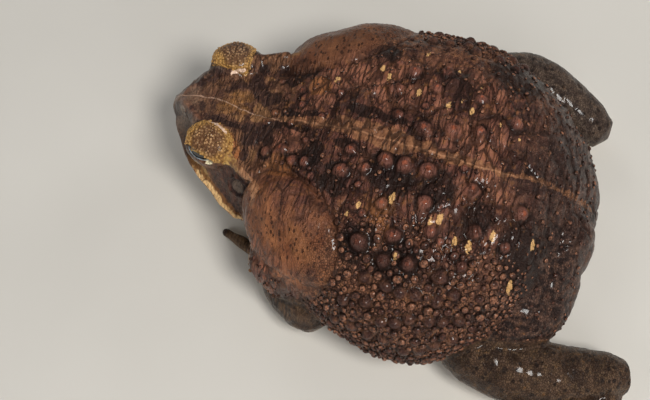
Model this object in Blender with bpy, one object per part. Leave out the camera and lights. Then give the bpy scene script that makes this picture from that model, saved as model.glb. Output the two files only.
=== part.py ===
"""A life-size cane toad, sitting low with its belly on the floor.

Metres, +Z up. The toad faces -Y and its own left side is at +X. The origin is on the floor,
under the middle of the belly. A place along the body is given as s, the distance behind the
snout tip, so that y = s - SNOUT_TO_ORIGIN. Tables of places are in millimetres.
"""

import math
import random

import bmesh
import bpy
import numpy as np
from mathutils import Matrix, Vector
from mathutils.bvhtree import BVHTree

MM = 0.001

# Driving sizes of the whole animal
SNOUT_VENT = 235 * MM
SNOUT_TO_ORIGIN = 130 * MM
GAP = 0.35 * MM

# How far the spine lies towards the toad's right, at the snout, mid body and vent
BOW_MIDDLE_S = 150 * MM
BOW_SNOUT = 19 * MM
BOW_MIDDLE = 3.5 * MM
BOW_VENT = 17 * MM

# Trunk stations: s, half width, top, widest level, bottom
TRUNK = [
    (40, 34, 66, 42, 26),
    (60, 52, 77, 43, 16),
    (78, 68, 85, 44, 4),
    (100, 81, 92, 44, -3),
    (125, 88, 97, 44, -5),
    (150, 91, 98, 44, -6),
    (175, 83, 95, 43, -5),
    (196, 69, 86, 42, -3),
    (213, 52, 72, 39, 2),
    (226, 34, 55, 36, 12),
    (233, 17, 43, 33, 23),
]
TRUNK_END_S = 235.5
TRUNK_RINGS = 30
TRUNK_SIDES = 48
TRUNK_UPPER_POWER = 2.2
TRUNK_LOWER_POWER = 2.6

# Head stations: s, half width, top, lip level, bottom
HEAD = [
    (2.5, 9.5, 54, 46, 41),
    (7, 14.8, 60, 43, 35),
    (15, 23, 65, 40, 28),
    (27, 32, 70, 37, 21),
    (41, 41, 73, 35, 16),
    (54, 46, 75, 35, 14),
    (70, 49, 78, 37, 13),
    (84, 50, 81, 39, 13),
]
HEAD_TIP = (0.5, 49)
HEAD_RINGS = 22
# Half a head section from the lip up, as shares of half width and height, for the snout and the temples
UPPER_SNOUT = [(1.0, 0.0), (0.93, 0.2), (0.79, 0.5), (0.62, 0.8), (0.45, 0.97), (0.24, 1.0), (0.0, 0.97)]
UPPER_TEMPLE = [(1.0, 0.0), (0.99, 0.2), (0.92, 0.44), (0.79, 0.68), (0.6, 0.88), (0.3, 0.98), (0.0, 0.96)]
LOWER_FACE = [(1.0, 0.0), (0.95, 0.22), (0.80, 0.60), (0.50, 0.90), (0.0, 1.0)]
SNOUT_SECTION_S = 8
TEMPLE_SECTION_S = 46

# The eye and its lids
EYE_CENTRE = (24.5, 28, 63.5)
EYE_RADIUS = 9.6 * MM
EYE_OUTWARD = (0.95, -0.22, 0.22)
EYE_HUMP_RADII = (13.0, 15.6, 13.6)
UPPER_LID_RADII = (16.0, 14.0, 13.0)
UPPER_LID_AHEAD = 4.5 * MM
UPPER_LID_RISE = 2.0 * MM
LOWER_LID_RADII = (12.5, 7.5, 10.0)
LOWER_LID_AHEAD = 5.0 * MM
SLIT_LENGTH = 18 * MM
SLIT_HEIGHT = 5.6 * MM
SLIT_FALL = math.radians(6)
SLIT_RISE = 1.2 * MM
SLIT_AHEAD = 1.0 * MM

# The eardrum
TYMPANUM_CENTRE = (38.5, 48.5, 57)
TYMPANUM_WAY = (0.8, 0.05, 0.58)
TYMPANUM_RADIUS = 4.8 * MM
TYMPANUM_DEPTH = 3.0 * MM

# The nostril: place and half sizes
NOSTRIL_CENTRE = (8.0, 5.5, 56)
NOSTRIL_RADII = (1.6, 2.6, 1.5)

# The mouth line seen from the side: s and z, and the back of the lower jaw
MOUTH_LINE = [(-12, 45.5), (-2, 45.5), (6, 42.5), (18, 39.5), (32, 37.5), (46, 36.5), (58, 37)]
JAW_BACK = [(72, 37), (72, -8)]

# The parotoid gland: centre, half sizes, turn about the vertical and tilt outwards
PAROTOID_CENTRE = (54.5, 86.5, 61)
PAROTOID_RADII = (26.5, 38, 17)
PAROTOID_ROOT_RADII = (28, 39.5, 22)
PAROTOID_TURN = math.radians(32)
PAROTOID_TILT = math.radians(48)

# The long fold on the right of the back
BACK_FOLD = [((-6, 94, 88.5), 3.6), ((-14, 101, 90.5), 4.8), ((-23, 108, 90.5), 4.2)]

# Warts: radius and height of each size, the share of the radius at half height, and how deep a root is sunk
WART_SIZES = {"great": (5.1, 2.9), "large": (4.4, 2.4), "middle": (3.6, 1.9)}
WART_SHOULDER = 0.8
WART_ROOT = 2.0
WART_SIDES = 6
WART_SEED = 11
# The single warts of the back, as places beside the spine and along it
BACK_WARTS = {
    "great": [(14, 122), (14.5, 132), (14, 143.5), (56, 119.5), (-7, 136), (-11, 150), (18, 166)],
    "large": [
        (25, 102), (61, 133), (59, 145), (49, 135), (61, 161), (-51, 108), (-14, 163),
        (22, 192), (37, 172), (-27, 118), (-40, 124), (-46, 140), (-25, 180), (30, 146),
    ],
    "middle": [(13, 104), (21, 113), (36, 126), (42, 152), (54, 170), (-33, 137), (-34, 160), (-12, 122), (40, 188)],
}
# Rows of warts on each flank: turn from straight up about the trunk's axis, first and last s, count and size
FLANK_ROWS = [
    (63, 122, 176, 6, "middle"),
    (73, 116, 182, 8, "middle"),
    (83, 112, 180, 8, "middle"),
]
AXIS_LEVEL = 44
ROW_SCATTER = 2.2
# The warts of the neck, on the head's node
NECK_WARTS = {"middle": [(19, 58.5), (-21, 58)]}
WART_KEEP_OFF = 1.2 * MM

# Ridges on the head and the lip, as a path of places and radii
CANTHUS = [((6.5, 7, 57.5), 2.4), ((10.5, 12, 61.5), 2.6), ((14.5, 19, 66), 2.6)]
EAR_RIDGE = [((26, 39, 64), 3.8), ((29.5, 49, 66), 4.2), ((35, 60, 68), 5.0)]
LIP = [
    ((0, 1.6, 47.5), 2.2),
    ((9, 3.5, 47), 2.4),
    ((15.5, 8, 44.5), 2.7),
    ((23.5, 16, 42), 2.9),
    ((32.5, 28, 39.5), 3.0),
    ((41, 42, 38.5), 3.1),
    ((44.5, 51, 38.8), 3.3),
]

# Folded limbs, as places beside the spine and radii
SHOULDER_CENTRE = (57, 92, 40)
SHOULDER_RADII = (23, 30, 24)
UPPER_ARM = [((57, 89, 32), 11.5), ((67, 96, 27), 13.5), ((74, 98, 21), 13.3)]
FOREARM = [((74, 98, 20), 13.5), ((64, 84, 15.5), 14), ((52, 72, 10.5), 9.5)]
PALM = [((52, 72, 8.5), 8.5), ((43, 65, 6.6), 8.4)]
FINGER_TURNS = (math.radians(-32), math.radians(-6), math.radians(18), math.radians(44))
FINGER_LENGTHS = (26, 29, 35, 25)
FINGER_RADII = (4.8, 3.0)
FINGER_SPREAD = 4.0
HAND_ROOT = (46, 68)
HAND_HEADING = math.radians(-64)

# Hind limbs in model places and radii. The root of a thigh is an ellipsoid: centre, long axis and half sizes
LEGS = {
    "left": {
        "thigh": [((18, 207, 40), 25), ((42, 202, 34), 25), ((63, 188, 24), 14)],
        "thigh_root": ((46, 202, 28), (-42, 15, 10), (47, 31, 36)),
        "shank": [((68, 186, 23), 16.5), ((71, 212, 22), 18), ((66, 238, 19), 15.5), ((60, 257, 16), 13)],
        "tarsus": [((61, 257, 14), 9.5), ((78, 256, 12), 10.5), ((99, 247, 8.5), 9)],
        "heading": math.radians(55),
    },
    "right": {
        "thigh": [((-40, 202, 40), 22), ((-60, 180, 36), 22), ((-80, 156, 26), 14)],
        "thigh_root": ((-66, 178, 28), (32, 40, 8), (46, 27, 34)),
        "shank": [((-86, 154, 25), 16), ((-96, 184, 24), 18), ((-90, 208, 20), 15.5), ((-84, 223, 17), 13)],
        "tarsus": [((-84, 222, 12), 9), ((-92, 202, 10), 10), ((-98, 180, 8), 8.6)],
        "heading": math.radians(-8),
    },
}
TOE_TURNS = (math.radians(-42), math.radians(-24), math.radians(-7), math.radians(9), math.radians(33))
TOE_LENGTHS = (36, 45, 58, 74, 48)
TOE_RADII = (5.4, 3.2)
TOE_SPREAD = 4.6
WEB_REACH = 0.62
WEB_HOLLOW = 0.25
WEB_THICKNESS = 1.6 * MM

# Fineness of the fused bodies
BODY_VOXEL = 1.6 * MM
LIMB_VOXEL = 1.9 * MM
BODY_TRIANGLES = 4900
HEAD_END_S = 68
HAND_VOXEL = 1.5 * MM
ARM_TRIANGLES = 1000
FOOT_TRIANGLES = 900
FLAT_ENOUGH = math.radians(1.5)
SHANK_TRIANGLES = 340
# The share of its triangles that each node keeps at the end, by the start of its name
KEPT_SHARES = {"torso": 0.57, "thigh": 0.64, "lower_jaw": 0.68, "eye": 0.7, "upper_lid": 0.7, "forearm": 0.7}
KEPT_SHARE = 0.8

# Colours and finish
FINISH = {
    "back_skin": ((0.085, 0.043, 0.026), 0.32),
    "gland_skin": ((0.20, 0.095, 0.042), 0.34),
    "face_skin": ((0.16, 0.095, 0.048), 0.4),
    "lid_skin": ((0.30, 0.19, 0.075), 0.45),
    "jaw_skin": ((0.42, 0.31, 0.17), 0.45),
    "leg_skin": ((0.115, 0.078, 0.055), 0.38),
    "foot_skin": ((0.19, 0.13, 0.08), 0.42),
    "eardrum_skin": ((0.11, 0.075, 0.05), 0.38),
    "eye_surface": ((0.012, 0.012, 0.014), 0.08),
}


FINISH_OF = {
    "torso": "back_skin",
    "head": "face_skin",
    "lower_jaw": "jaw_skin",
    "parotoid": "gland_skin",
    "tympanum": "eardrum_skin",
    "eye": "eye_surface",
    "upper_lid": "lid_skin",
    "lower_lid": "lid_skin",
    "hand": "foot_skin",
    "foot": "foot_skin",
}


def bow(s):
    """Sideways place of the spine at s."""
    ahead = (BOW_MIDDLE_S - s) / BOW_MIDDLE_S
    if ahead > 0:
        return -BOW_MIDDLE - (BOW_SNOUT - BOW_MIDDLE) * ahead**1.2
    behind = (s - BOW_MIDDLE_S) / (SNOUT_VENT - BOW_MIDDLE_S)
    return -BOW_MIDDLE - (BOW_VENT - BOW_MIDDLE) * behind**2


def beside_spine(x, s, z):
    """A point at x beside the spine, at s and z, as a place in the model."""
    return Vector((x * MM + bow(s * MM), s * MM - SNOUT_TO_ORIGIN, z * MM))


def in_model(x, s, z):
    """A point at s that keeps clear of the spine's bow."""
    return Vector((x * MM, s * MM - SNOUT_TO_ORIGIN, z * MM))


def mirrored(path, side):
    """A path of places and radii beside the spine, on the toad's left (1) or right (-1)."""
    return [((side * x, s, z), radius) for (x, s, z), radius in path]


def read_smoothly(stations, at):
    """The row of a table at the given first value, on a smooth curve through its rows."""
    table = np.array(stations, float)
    keys = table[:, 0]
    slopes = np.gradient(table[:, 1:], keys, axis=0)
    i = int(np.clip(np.searchsorted(keys, at) - 1, 0, len(keys) - 2))
    span = keys[i + 1] - keys[i]
    t = float(np.clip((at - keys[i]) / span, 0, 1))
    row = (
        (2 * t**3 - 3 * t**2 + 1) * table[i, 1:]
        + (t**3 - 2 * t**2 + t) * span * slopes[i]
        + (3 * t**2 - 2 * t**3) * table[i + 1, 1:]
        + (t**3 - t**2) * span * slopes[i + 1]
    )
    return [float(value) for value in row]


def add_object(name, bm):
    """A mesh object from a finished bmesh."""
    bm.normal_update()
    mesh = bpy.data.meshes.new(name)
    bm.to_mesh(mesh)
    bm.free()
    made = bpy.data.objects.new(name, mesh)
    bpy.context.scene.collection.objects.link(made)
    return made


def loft(name, rings, first_pole, last_pole):
    """A closed skin through rings of points, with a pole at each end."""
    bm = bmesh.new()
    rows = [[bm.verts.new(p) for p in ring] for ring in rings]
    for low, high in zip(rows, rows[1:]):
        for i in range(len(low)):
            j = (i + 1) % len(low)
            bm.faces.new((low[i], low[j], high[j], high[i]))
    for pole, row, turn in ((first_pole, rows[0], 1), (last_pole, rows[-1], -1)):
        tip = bm.verts.new(pole)
        for i in range(len(row)):
            pair = (row[i], row[(i + 1) % len(row)])
            bm.faces.new((tip, *pair[::-turn]))
    bmesh.ops.recalc_face_normals(bm, faces=bm.faces)
    return add_object(name, bm)


def signed_power(value, power):
    return math.copysign(abs(value) ** power, value)


def make_trunk():
    rings = []
    first = TRUNK[0][0]
    last = TRUNK[-1][0]
    for i in range(TRUNK_RINGS):
        # Rings crowd towards the rounded rear end
        t = i / (TRUNK_RINGS - 1)
        s = first + (last - first) * 0.5 * (t + math.sin(t * math.pi / 2))
        half, top, wide, bottom = read_smoothly(TRUNK, s)
        ring = []
        for k in range(TRUNK_SIDES):
            angle = 2 * math.pi * k / TRUNK_SIDES
            upper = math.sin(angle) > 0
            power = TRUNK_UPPER_POWER if upper else TRUNK_LOWER_POWER
            reach = top - wide if upper else wide - bottom
            x = half * signed_power(math.cos(angle), 2 / power)
            z = wide + reach * signed_power(math.sin(angle), 2 / power)
            ring.append(beside_spine(x, s, z))
        rings.append(ring)
    front_level = TRUNK[0][3]
    rear_level = TRUNK[-1][3]
    return loft("trunk", rings, beside_spine(0, first - 4, front_level), beside_spine(0, TRUNK_END_S, rear_level))


def head_section(s):
    half, top, lip, bottom = read_smoothly(HEAD, s)
    temple = min(max((s - SNOUT_SECTION_S) / (TEMPLE_SECTION_S - SNOUT_SECTION_S), 0), 1)
    upper = [
        ((1 - temple) * a[0] + temple * b[0], (1 - temple) * a[1] + temple * b[1])
        for a, b in zip(UPPER_SNOUT, UPPER_TEMPLE)
    ]
    points = [(x * half, lip + z * (top - lip)) for x, z in upper]
    points += [(-x, z) for x, z in reversed(points[:-1])]
    lower = [(x * half, lip - z * (lip - bottom)) for x, z in LOWER_FACE[1:]]
    points += [(-x, z) for x, z in lower]
    points += list(reversed(lower[:-1]))
    return [beside_spine(x, s, z) for x, z in points]


def make_head():
    first = HEAD[0][0]
    last = HEAD[-1][0]
    rings = []
    for i in range(HEAD_RINGS):
        t = i / (HEAD_RINGS - 1)
        rings.append(head_section(first + (last - first) * (0.35 * t + 0.65 * t**2)))
    return loft("head_shape", rings, beside_spine(0, *HEAD_TIP), beside_spine(0, last + 3, HEAD[-1][3]))


def ellipsoid(name, centre, radii, turn=None, segments=24, rings=14):
    """An ellipsoid of half sizes in metres, turned by a 3x3 rotation."""
    bm = bmesh.new()
    bmesh.ops.create_uvsphere(bm, u_segments=segments, v_segments=rings, radius=1)
    turned = (turn or Matrix.Identity(3)).to_4x4()
    size = Matrix.Diagonal((*radii, 1))
    bmesh.ops.transform(bm, matrix=Matrix.Translation(centre) @ turned @ size, verts=bm.verts)
    return add_object(name, bm)


def tube(name, path, at=beside_spine, sides=14, step=5.0):
    """A round tapering tube through places and radii, with domed ends."""
    places = [at(*place) for place, _ in path]
    keyed = []
    run = 0.0
    for i, (place, (_, radius)) in enumerate(zip(places, path)):
        if i:
            run += (place - places[i - 1]).length
        keyed.append((run, *place, radius * MM))
    rows = max(2, math.ceil(run / (step * MM)))
    samples = [read_smoothly(keyed, run * i / rows) for i in range(rows + 1)]
    line = [Vector(sample[:3]) for sample in samples]
    radii = [sample[3] for sample in samples]
    first_way = (line[1] - line[0]).normalized()
    last_way = (line[-1] - line[-2]).normalized()
    stops = [(line[0] - first_way * radii[0] * 0.7, radii[0] * 0.7, first_way)]
    for i in range(rows + 1):
        way = (line[min(i + 1, rows)] - line[max(i - 1, 0)]).normalized()
        stops.append((line[i], radii[i], way))
    stops.append((line[-1] + last_way * radii[-1] * 0.7, radii[-1] * 0.7, last_way))
    rings = []
    for centre, radius, way in stops:
        across = way.cross(Vector((0, 0, 1))).normalized()
        up = across.cross(way)
        angles = [2 * math.pi * k / sides for k in range(sides)]
        rings.append([centre + (across * math.cos(a) + up * math.sin(a)) * radius for a in angles])
    return loft(name, rings, line[0] - first_way * radii[0], line[-1] + last_way * radii[-1])


def box_between(name, low, high):
    bm = bmesh.new()
    bmesh.ops.create_cube(bm, size=1)
    middle = (Vector(low) + Vector(high)) / 2
    size = Matrix.Diagonal((*(Vector(high) - Vector(low)), 1))
    bmesh.ops.transform(bm, matrix=Matrix.Translation(middle) @ size, verts=bm.verts)
    return add_object(name, bm)


def profile_prism(name, outline, half_width):
    """A prism across the body, from an outline of s and z that runs round once."""
    bm = bmesh.new()
    near = [bm.verts.new((-half_width, s * MM - SNOUT_TO_ORIGIN, z * MM)) for s, z in outline]
    far = [bm.verts.new((half_width, s * MM - SNOUT_TO_ORIGIN, z * MM)) for s, z in outline]
    bm.faces.new(near)
    bm.faces.new(far[::-1])
    for i in range(len(outline)):
        j = (i + 1) % len(outline)
        bm.faces.new((near[i], far[i], far[j], near[j]))
    bmesh.ops.recalc_face_normals(bm, faces=bm.faces)
    return add_object(name, bm)


def discard(*objects):
    for used in objects:
        bpy.data.objects.remove(used)


def apply_modifiers(target):
    """Replaces the object's mesh by the one its modifiers make."""
    graph = bpy.context.evaluated_depsgraph_get()
    mesh = bpy.data.meshes.new_from_object(target.evaluated_get(graph))
    target.modifiers.clear()
    target.data = mesh


def boolean(target, operation, *others):
    for other in others:
        step = target.modifiers.new(operation.lower(), "BOOLEAN")
        step.operation = operation
        step.solver = "EXACT"
        step.object = other
    apply_modifiers(target)


def copy_of(source, name):
    twin = source.copy()
    twin.data = source.data.copy()
    twin.name = name
    bpy.context.scene.collection.objects.link(twin)
    return twin


def grown(source, by=GAP):
    """A copy whose surface lies a little outside the source's."""
    twin = copy_of(source, source.name + "_grown")
    bm = bmesh.new()
    bm.from_mesh(twin.data)
    bm.normal_update()
    shifts = [vertex.normal * by * vertex.calc_shell_factor() for vertex in bm.verts]
    for vertex, shift in zip(bm.verts, shifts):
        vertex.co += shift if shift.length < 3 * by else shift.normalized() * 3 * by
    bm.to_mesh(twin.data)
    bm.free()
    return twin


def clear_of(target, *neighbours):
    """Cuts the neighbours, grown by the gap, out of the target."""
    for neighbour in neighbours:
        cutter = grown(neighbour)
        boolean(target, "DIFFERENCE", cutter)
        discard(cutter)
    keep_largest(target)


def keep_largest(target):
    """Drops every loose piece of the mesh but the one with the largest box."""
    bm = bmesh.new()
    bm.from_mesh(target.data)
    bmesh.ops.remove_doubles(bm, verts=bm.verts, dist=0.00001)
    left = set(bm.verts)
    islands = []
    while left:
        queue = [left.pop()]
        island = set(queue)
        while queue:
            for edge in queue.pop().link_edges:
                for vertex in edge.verts:
                    if vertex in left:
                        left.remove(vertex)
                        island.add(vertex)
                        queue.append(vertex)
        islands.append(island)
    islands.sort(key=len)
    for island in islands[:-1]:
        bmesh.ops.delete(bm, geom=list(island), context="VERTS")
    bmesh.ops.triangulate(bm, faces=bm.faces)
    bm.to_mesh(target.data)
    bm.free()


def fuse(name, pieces, voxel, triangles, smoothing=2):
    """One skin over overlapping closed pieces, softened and brought down to a number of triangles."""
    bm = bmesh.new()
    for piece in pieces:
        bm.from_mesh(piece.data)
    discard(*pieces)
    body = add_object(name, bm)
    remesh = body.modifiers.new("fuse", "REMESH")
    remesh.mode = "VOXEL"
    remesh.voxel_size = voxel
    soften = body.modifiers.new("soften", "SMOOTH")
    soften.factor = 0.5
    soften.iterations = smoothing
    apply_modifiers(body)
    keep_largest(body)
    thin_out(body, triangles)
    return body


def thin_out(target, triangles):
    """Brings a triangulated mesh down to about this many triangles."""
    fewer = target.modifiers.new("fewer", "DECIMATE")
    fewer.ratio = min(1.0, triangles / len(target.data.polygons))
    apply_modifiers(target)


def level_on_floor(target):
    """Cuts what lies below the floor, which leaves a flat to rest on."""
    floor = box_between("floor", (-0.4, -0.4, -0.1), (0.4, 0.4, 0.0))
    boolean(target, "DIFFERENCE", floor)
    discard(floor)
    keep_largest(target)


def drop_slivers(target):
    """Merges neighbouring faces that lie all but in one plane, and triangulates again."""
    bm = bmesh.new()
    bm.from_mesh(target.data)
    bmesh.ops.dissolve_limit(bm, angle_limit=FLAT_ENOUGH, verts=bm.verts, edges=bm.edges)
    bmesh.ops.triangulate(bm, faces=bm.faces)
    bm.to_mesh(target.data)
    bm.free()
    share = next((share for start, share in KEPT_SHARES.items() if target.name.startswith(start)), KEPT_SHARE)
    thin_out(target, share * len(target.data.polygons))
    keep_largest(target)


def give_finish(target):
    kind = target.name.removesuffix("_left").removesuffix("_right")
    finish = FINISH_OF.get(kind, "leg_skin")
    colour, roughness = FINISH[finish]
    material = bpy.data.materials.get(finish)
    if material is None:
        material = bpy.data.materials.new(finish)
        material.use_nodes = True
        shader = material.node_tree.nodes["Principled BSDF"]
        shader.inputs["Base Color"].default_value = (*colour, 1)
        shader.inputs["Roughness"].default_value = roughness
        shader.inputs["Metallic"].default_value = 0.0
    target.data.materials.clear()
    target.data.materials.append(material)


def parotoid_turn(side):
    return Matrix.Rotation(-side * PAROTOID_TURN, 3, "Z") @ Matrix.Rotation(side * PAROTOID_TILT, 3, "Y")


def eye_frame(side):
    """The eye's centre, its outward way, and axes along the slit, across it and outwards."""
    centre = beside_spine(side * EYE_CENTRE[0], EYE_CENTRE[1], EYE_CENTRE[2])
    outward = Vector((side * EYE_OUTWARD[0], EYE_OUTWARD[1], EYE_OUTWARD[2])).normalized()
    along = Vector((0, 1, 0)) - outward * outward.y
    along.normalize()
    along = Matrix.Rotation(-side * SLIT_FALL, 3, outward) @ along
    across = outward.cross(along)
    if across.z < 0:
        across.negate()
    return centre, outward, Matrix((along, across, along.cross(across))).transposed()


def make_body():
    """Trunk, thighs, head, eye humps, glands, ridges and lips in one skin."""
    pieces = [make_trunk(), make_head()]
    for side in (1, -1):
        centre, _, _ = eye_frame(side)
        pieces.append(ellipsoid("hump", centre, [r * MM for r in EYE_HUMP_RADII], Matrix.Rotation(side * -0.25, 3, "Z")))
        place = beside_spine(side * PAROTOID_CENTRE[0], *PAROTOID_CENTRE[1:])
        pieces.append(ellipsoid("gland", place, [r * MM for r in PAROTOID_RADII], parotoid_turn(side)))
        place = beside_spine(side * SHOULDER_CENTRE[0], *SHOULDER_CENTRE[1:])
        pieces.append(ellipsoid("shoulder", place, [r * MM for r in SHOULDER_RADII]))
        for path in (CANTHUS, EAR_RIDGE, LIP):
            pieces.append(tube("ridge", mirrored(path, side), sides=10, step=3.5))
    for leg in LEGS.values():
        pieces.append(tube("thigh", leg["thigh"], at=in_model, sides=20))
    pieces.append(tube("fold", BACK_FOLD, sides=10, step=4))
    return fuse("torso", pieces, BODY_VOXEL, BODY_TRIANGLES, smoothing=5)


def outward_region(name, place, way, radii):
    """An ellipsoid with its short axis along the way and its long one near the length of the body."""
    outward = Vector(way).normalized()
    along = (Vector((0, 1, 0)) - outward * outward.y).normalized()
    turn = Matrix((along, outward.cross(along), outward)).transposed()
    return ellipsoid(name, place, radii, turn, segments=12, rings=8)


def carve_out(source, region, name, gap=GAP):
    """Moves what lies in the region from the source to a new node, a gap apart."""
    piece = copy_of(source, name)
    boolean(piece, "INTERSECT", region)
    keep_largest(piece)
    wider = grown(region, gap)
    boolean(source, "DIFFERENCE", wider)
    keep_largest(source)
    discard(wider)
    return piece


def part_eye(body, side, tag):
    """Eyeball, upper lid and lower lid, carved from one side of the head."""
    centre, outward, axes = eye_frame(side)
    across = axes.col[1]
    seam = centre + across * SLIT_RISE
    eye = ellipsoid(f"eye_{tag}", centre, [EYE_RADIUS] * 3, segments=18, rings=10)
    upper = ellipsoid(
        "upper", centre + outward * UPPER_LID_AHEAD + across * UPPER_LID_RISE, [r * MM for r in UPPER_LID_RADII], axes, 16, 10
    )
    lower = ellipsoid("lower", centre + outward * LOWER_LID_AHEAD, [r * MM for r in LOWER_LID_RADII], axes, 16, 10)
    above = half_space("above", seam + across * GAP / 2, across)
    below = half_space("below", seam - across * GAP / 2, -across)
    boolean(upper, "INTERSECT", above)
    boolean(lower, "INTERSECT", below)
    upper_lid = carve_out(body, upper, f"upper_lid_{tag}")
    lower_lid = carve_out(body, lower, f"lower_lid_{tag}")
    socket = grown(eye)
    slit_place = centre + outward * (EYE_RADIUS + SLIT_AHEAD) + across * SLIT_RISE
    slit = ellipsoid("slit", slit_place, (SLIT_LENGTH / 2, SLIT_HEIGHT / 2, EYE_RADIUS), axes, 16, 8)
    for skin in (body, upper_lid, lower_lid):
        boolean(skin, "DIFFERENCE", socket, slit)
        keep_largest(skin)
    discard(socket, slit, upper, lower, above, below)
    return [eye, upper_lid, lower_lid]


def part_head(body):
    """Carves the glands, eardrums, eyes, lids and lower jaw out of the body, then parts the head from it."""
    made = []
    for side, tag in ((1, "left"), (-1, "right")):
        place = beside_spine(side * PAROTOID_CENTRE[0], *PAROTOID_CENTRE[1:])
        region = ellipsoid("region", place, [r * MM for r in PAROTOID_ROOT_RADII], parotoid_turn(side), 16, 10)
        made.append(carve_out(body, region, f"parotoid_{tag}"))
        discard(region)
        made += part_eye(body, side, tag)
        drum = beside_spine(side * TYMPANUM_CENTRE[0], *TYMPANUM_CENTRE[1:])
        way = (side * TYMPANUM_WAY[0], TYMPANUM_WAY[1], TYMPANUM_WAY[2])
        region = outward_region("region", drum, way, (TYMPANUM_RADIUS, TYMPANUM_RADIUS, TYMPANUM_DEPTH))
        made.append(carve_out(body, region, f"tympanum_{tag}"))
        nostril = beside_spine(side * NOSTRIL_CENTRE[0], *NOSTRIL_CENTRE[1:])
        pit = ellipsoid("pit", nostril, [r * MM for r in NOSTRIL_RADII], segments=10, rings=6)
        boolean(body, "DIFFERENCE", pit)
        discard(region, pit)
    keep_largest(body)
    lower = [(s, z - GAP / MM / 2) for s, z in MOUTH_LINE] + JAW_BACK + [(-12, -8)]
    region = profile_prism("region", lower, 0.09)
    jaw = carve_out(body, region, "lower_jaw")
    discard(region)
    made.append(jaw)
    neck = in_model(0, HEAD_END_S, 50)
    made.append(split_chain(body, [(neck, Vector((0, 1, 0)))], ["head", "torso"])[0])
    return made


def part_thigh(body, leg, name):
    """Carves the thigh out of the body with an ellipsoid that crosses the skin steeply."""
    centre, long_way, radii = leg["thigh_root"]
    along = Vector((long_way[0], long_way[1], long_way[2])).normalized()
    across = along.cross(Vector((0, 0, 1))).normalized()
    turn = Matrix((along, across, along.cross(across))).transposed()
    region = ellipsoid("region", in_model(*centre), [r * MM for r in radii], turn, 20, 12)
    thigh = carve_out(body, region, name)
    discard(region)
    return thigh


def make_arm(side, tag):
    """Upper arm, forearm and hand as one limb, then parted at the elbow and wrist."""
    pieces = [tube("part", mirrored(path, side)) for path in (UPPER_ARM, FOREARM, PALM)]
    root = beside_spine(side * HAND_ROOT[0], HAND_ROOT[1], 6)
    for finger, (turn, length) in enumerate(zip(FINGER_TURNS, FINGER_LENGTHS)):
        start = digit_root(root, side, HAND_HEADING, (finger - 1.5) * FINGER_SPREAD)
        pieces.append(digit(start, side, HAND_HEADING + turn, length, FINGER_RADII, sides=10))
    arm = fuse("arm", pieces, HAND_VOXEL, ARM_TRIANGLES, smoothing=1)
    level_on_floor(arm)
    elbow = beside_spine(side * 81, 100, 20)
    upper_way = (beside_spine(side * 52, 84, 46) - elbow).normalized()
    fore_way = (beside_spine(side * 55, 67, 10.5) - elbow).normalized()
    wrist = beside_spine(side * 52, 64, 8)
    mould = copy_of(arm, f"arm_mould_{tag}")
    return mould, split_chain(
        arm, [(elbow, fore_way - upper_way), (wrist, fore_way)], [f"upper_arm_{tag}", f"forearm_{tag}", f"hand_{tag}"]
    )


def digit_root(root, side, heading, spread):
    """A place beside the root, across the heading of the hand or foot."""
    return root + Vector((side * math.cos(heading), math.sin(heading), 0)) * spread * MM


def digit(root, side, heading, length, radii, sides=8):
    """A tapering finger or toe along the floor; heading is the turn from straight ahead towards the outside."""
    way = Vector((side * math.sin(heading), -math.cos(heading), 0))
    base_radius, tip_radius = [r * MM for r in radii]
    reach = length * MM
    path = []
    for share, swell in ((0.0, 1.15), (0.35, 0.86), (0.55, 0.92), (0.8, 0.74), (0.97, 0.82)):
        radius = tip_radius + (base_radius - tip_radius) * (1 - share)
        path.append((root + way * reach * share, radius * swell))
    stations = [((p.x / MM, (p.y + SNOUT_TO_ORIGIN) / MM, (r - 0.25 * MM) / MM), r / MM) for p, r in path]
    return tube("digit", stations, at=in_model, sides=sides)


def split_chain(body, cuts, names):
    """Parts a limb by thin sheets, each given by a point and the way towards the limb's far end."""
    nodes = []
    rest = body
    for (point, way), name in zip(cuts, names):
        far = Vector(way).normalized()
        front = half_space("beyond", point + far * GAP / 2, far)
        back = half_space("before", point - far * GAP / 2, -far)
        near = copy_of(rest, name)
        boolean(near, "INTERSECT", back)
        keep_largest(near)
        boolean(rest, "INTERSECT", front)
        keep_largest(rest)
        discard(front, back)
        nodes.append(near)
    rest.name = names[-1]
    return nodes + [rest]


def half_space(name, point, way, size=0.5):
    """A large cube whose one face passes through the point and which lies on the way's side."""
    bm = bmesh.new()
    bmesh.ops.create_cube(bm, size=size)
    bmesh.ops.translate(bm, vec=(0, 0, size / 2), verts=bm.verts)
    turn = Vector(way).to_track_quat("Z", "Y").to_matrix().to_4x4()
    bmesh.ops.transform(bm, matrix=Matrix.Translation(point) @ turn, verts=bm.verts)
    return add_object(name, bm)


def make_web(side, roots, headings, lengths):
    """A thin web between two toes, hollowed at its free edge."""
    ends = []
    for root, heading, length in zip(roots, headings, lengths):
        way = Vector((side * math.sin(heading), -math.cos(heading), 0))
        ends.append(root + way * length * WEB_REACH * MM)
    middle_root = (roots[0] + roots[1]) / 2
    hollow = (ends[0] + ends[1]) / 2
    hollow += (middle_root - hollow) * WEB_HOLLOW
    corners = [roots[0], ends[0], hollow, ends[1], roots[1]]
    bm = bmesh.new()
    low = [bm.verts.new((p.x, p.y, 0.4 * MM)) for p in corners]
    high = [bm.verts.new((p.x, p.y, 0.4 * MM + WEB_THICKNESS)) for p in corners]
    bm.faces.new(low)
    bm.faces.new(high[::-1])
    for i in range(len(low)):
        j = (i + 1) % len(low)
        bm.faces.new((low[i], high[i], high[j], low[j]))
    bmesh.ops.recalc_face_normals(bm, faces=bm.faces)
    return add_object("web", bm)


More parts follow.
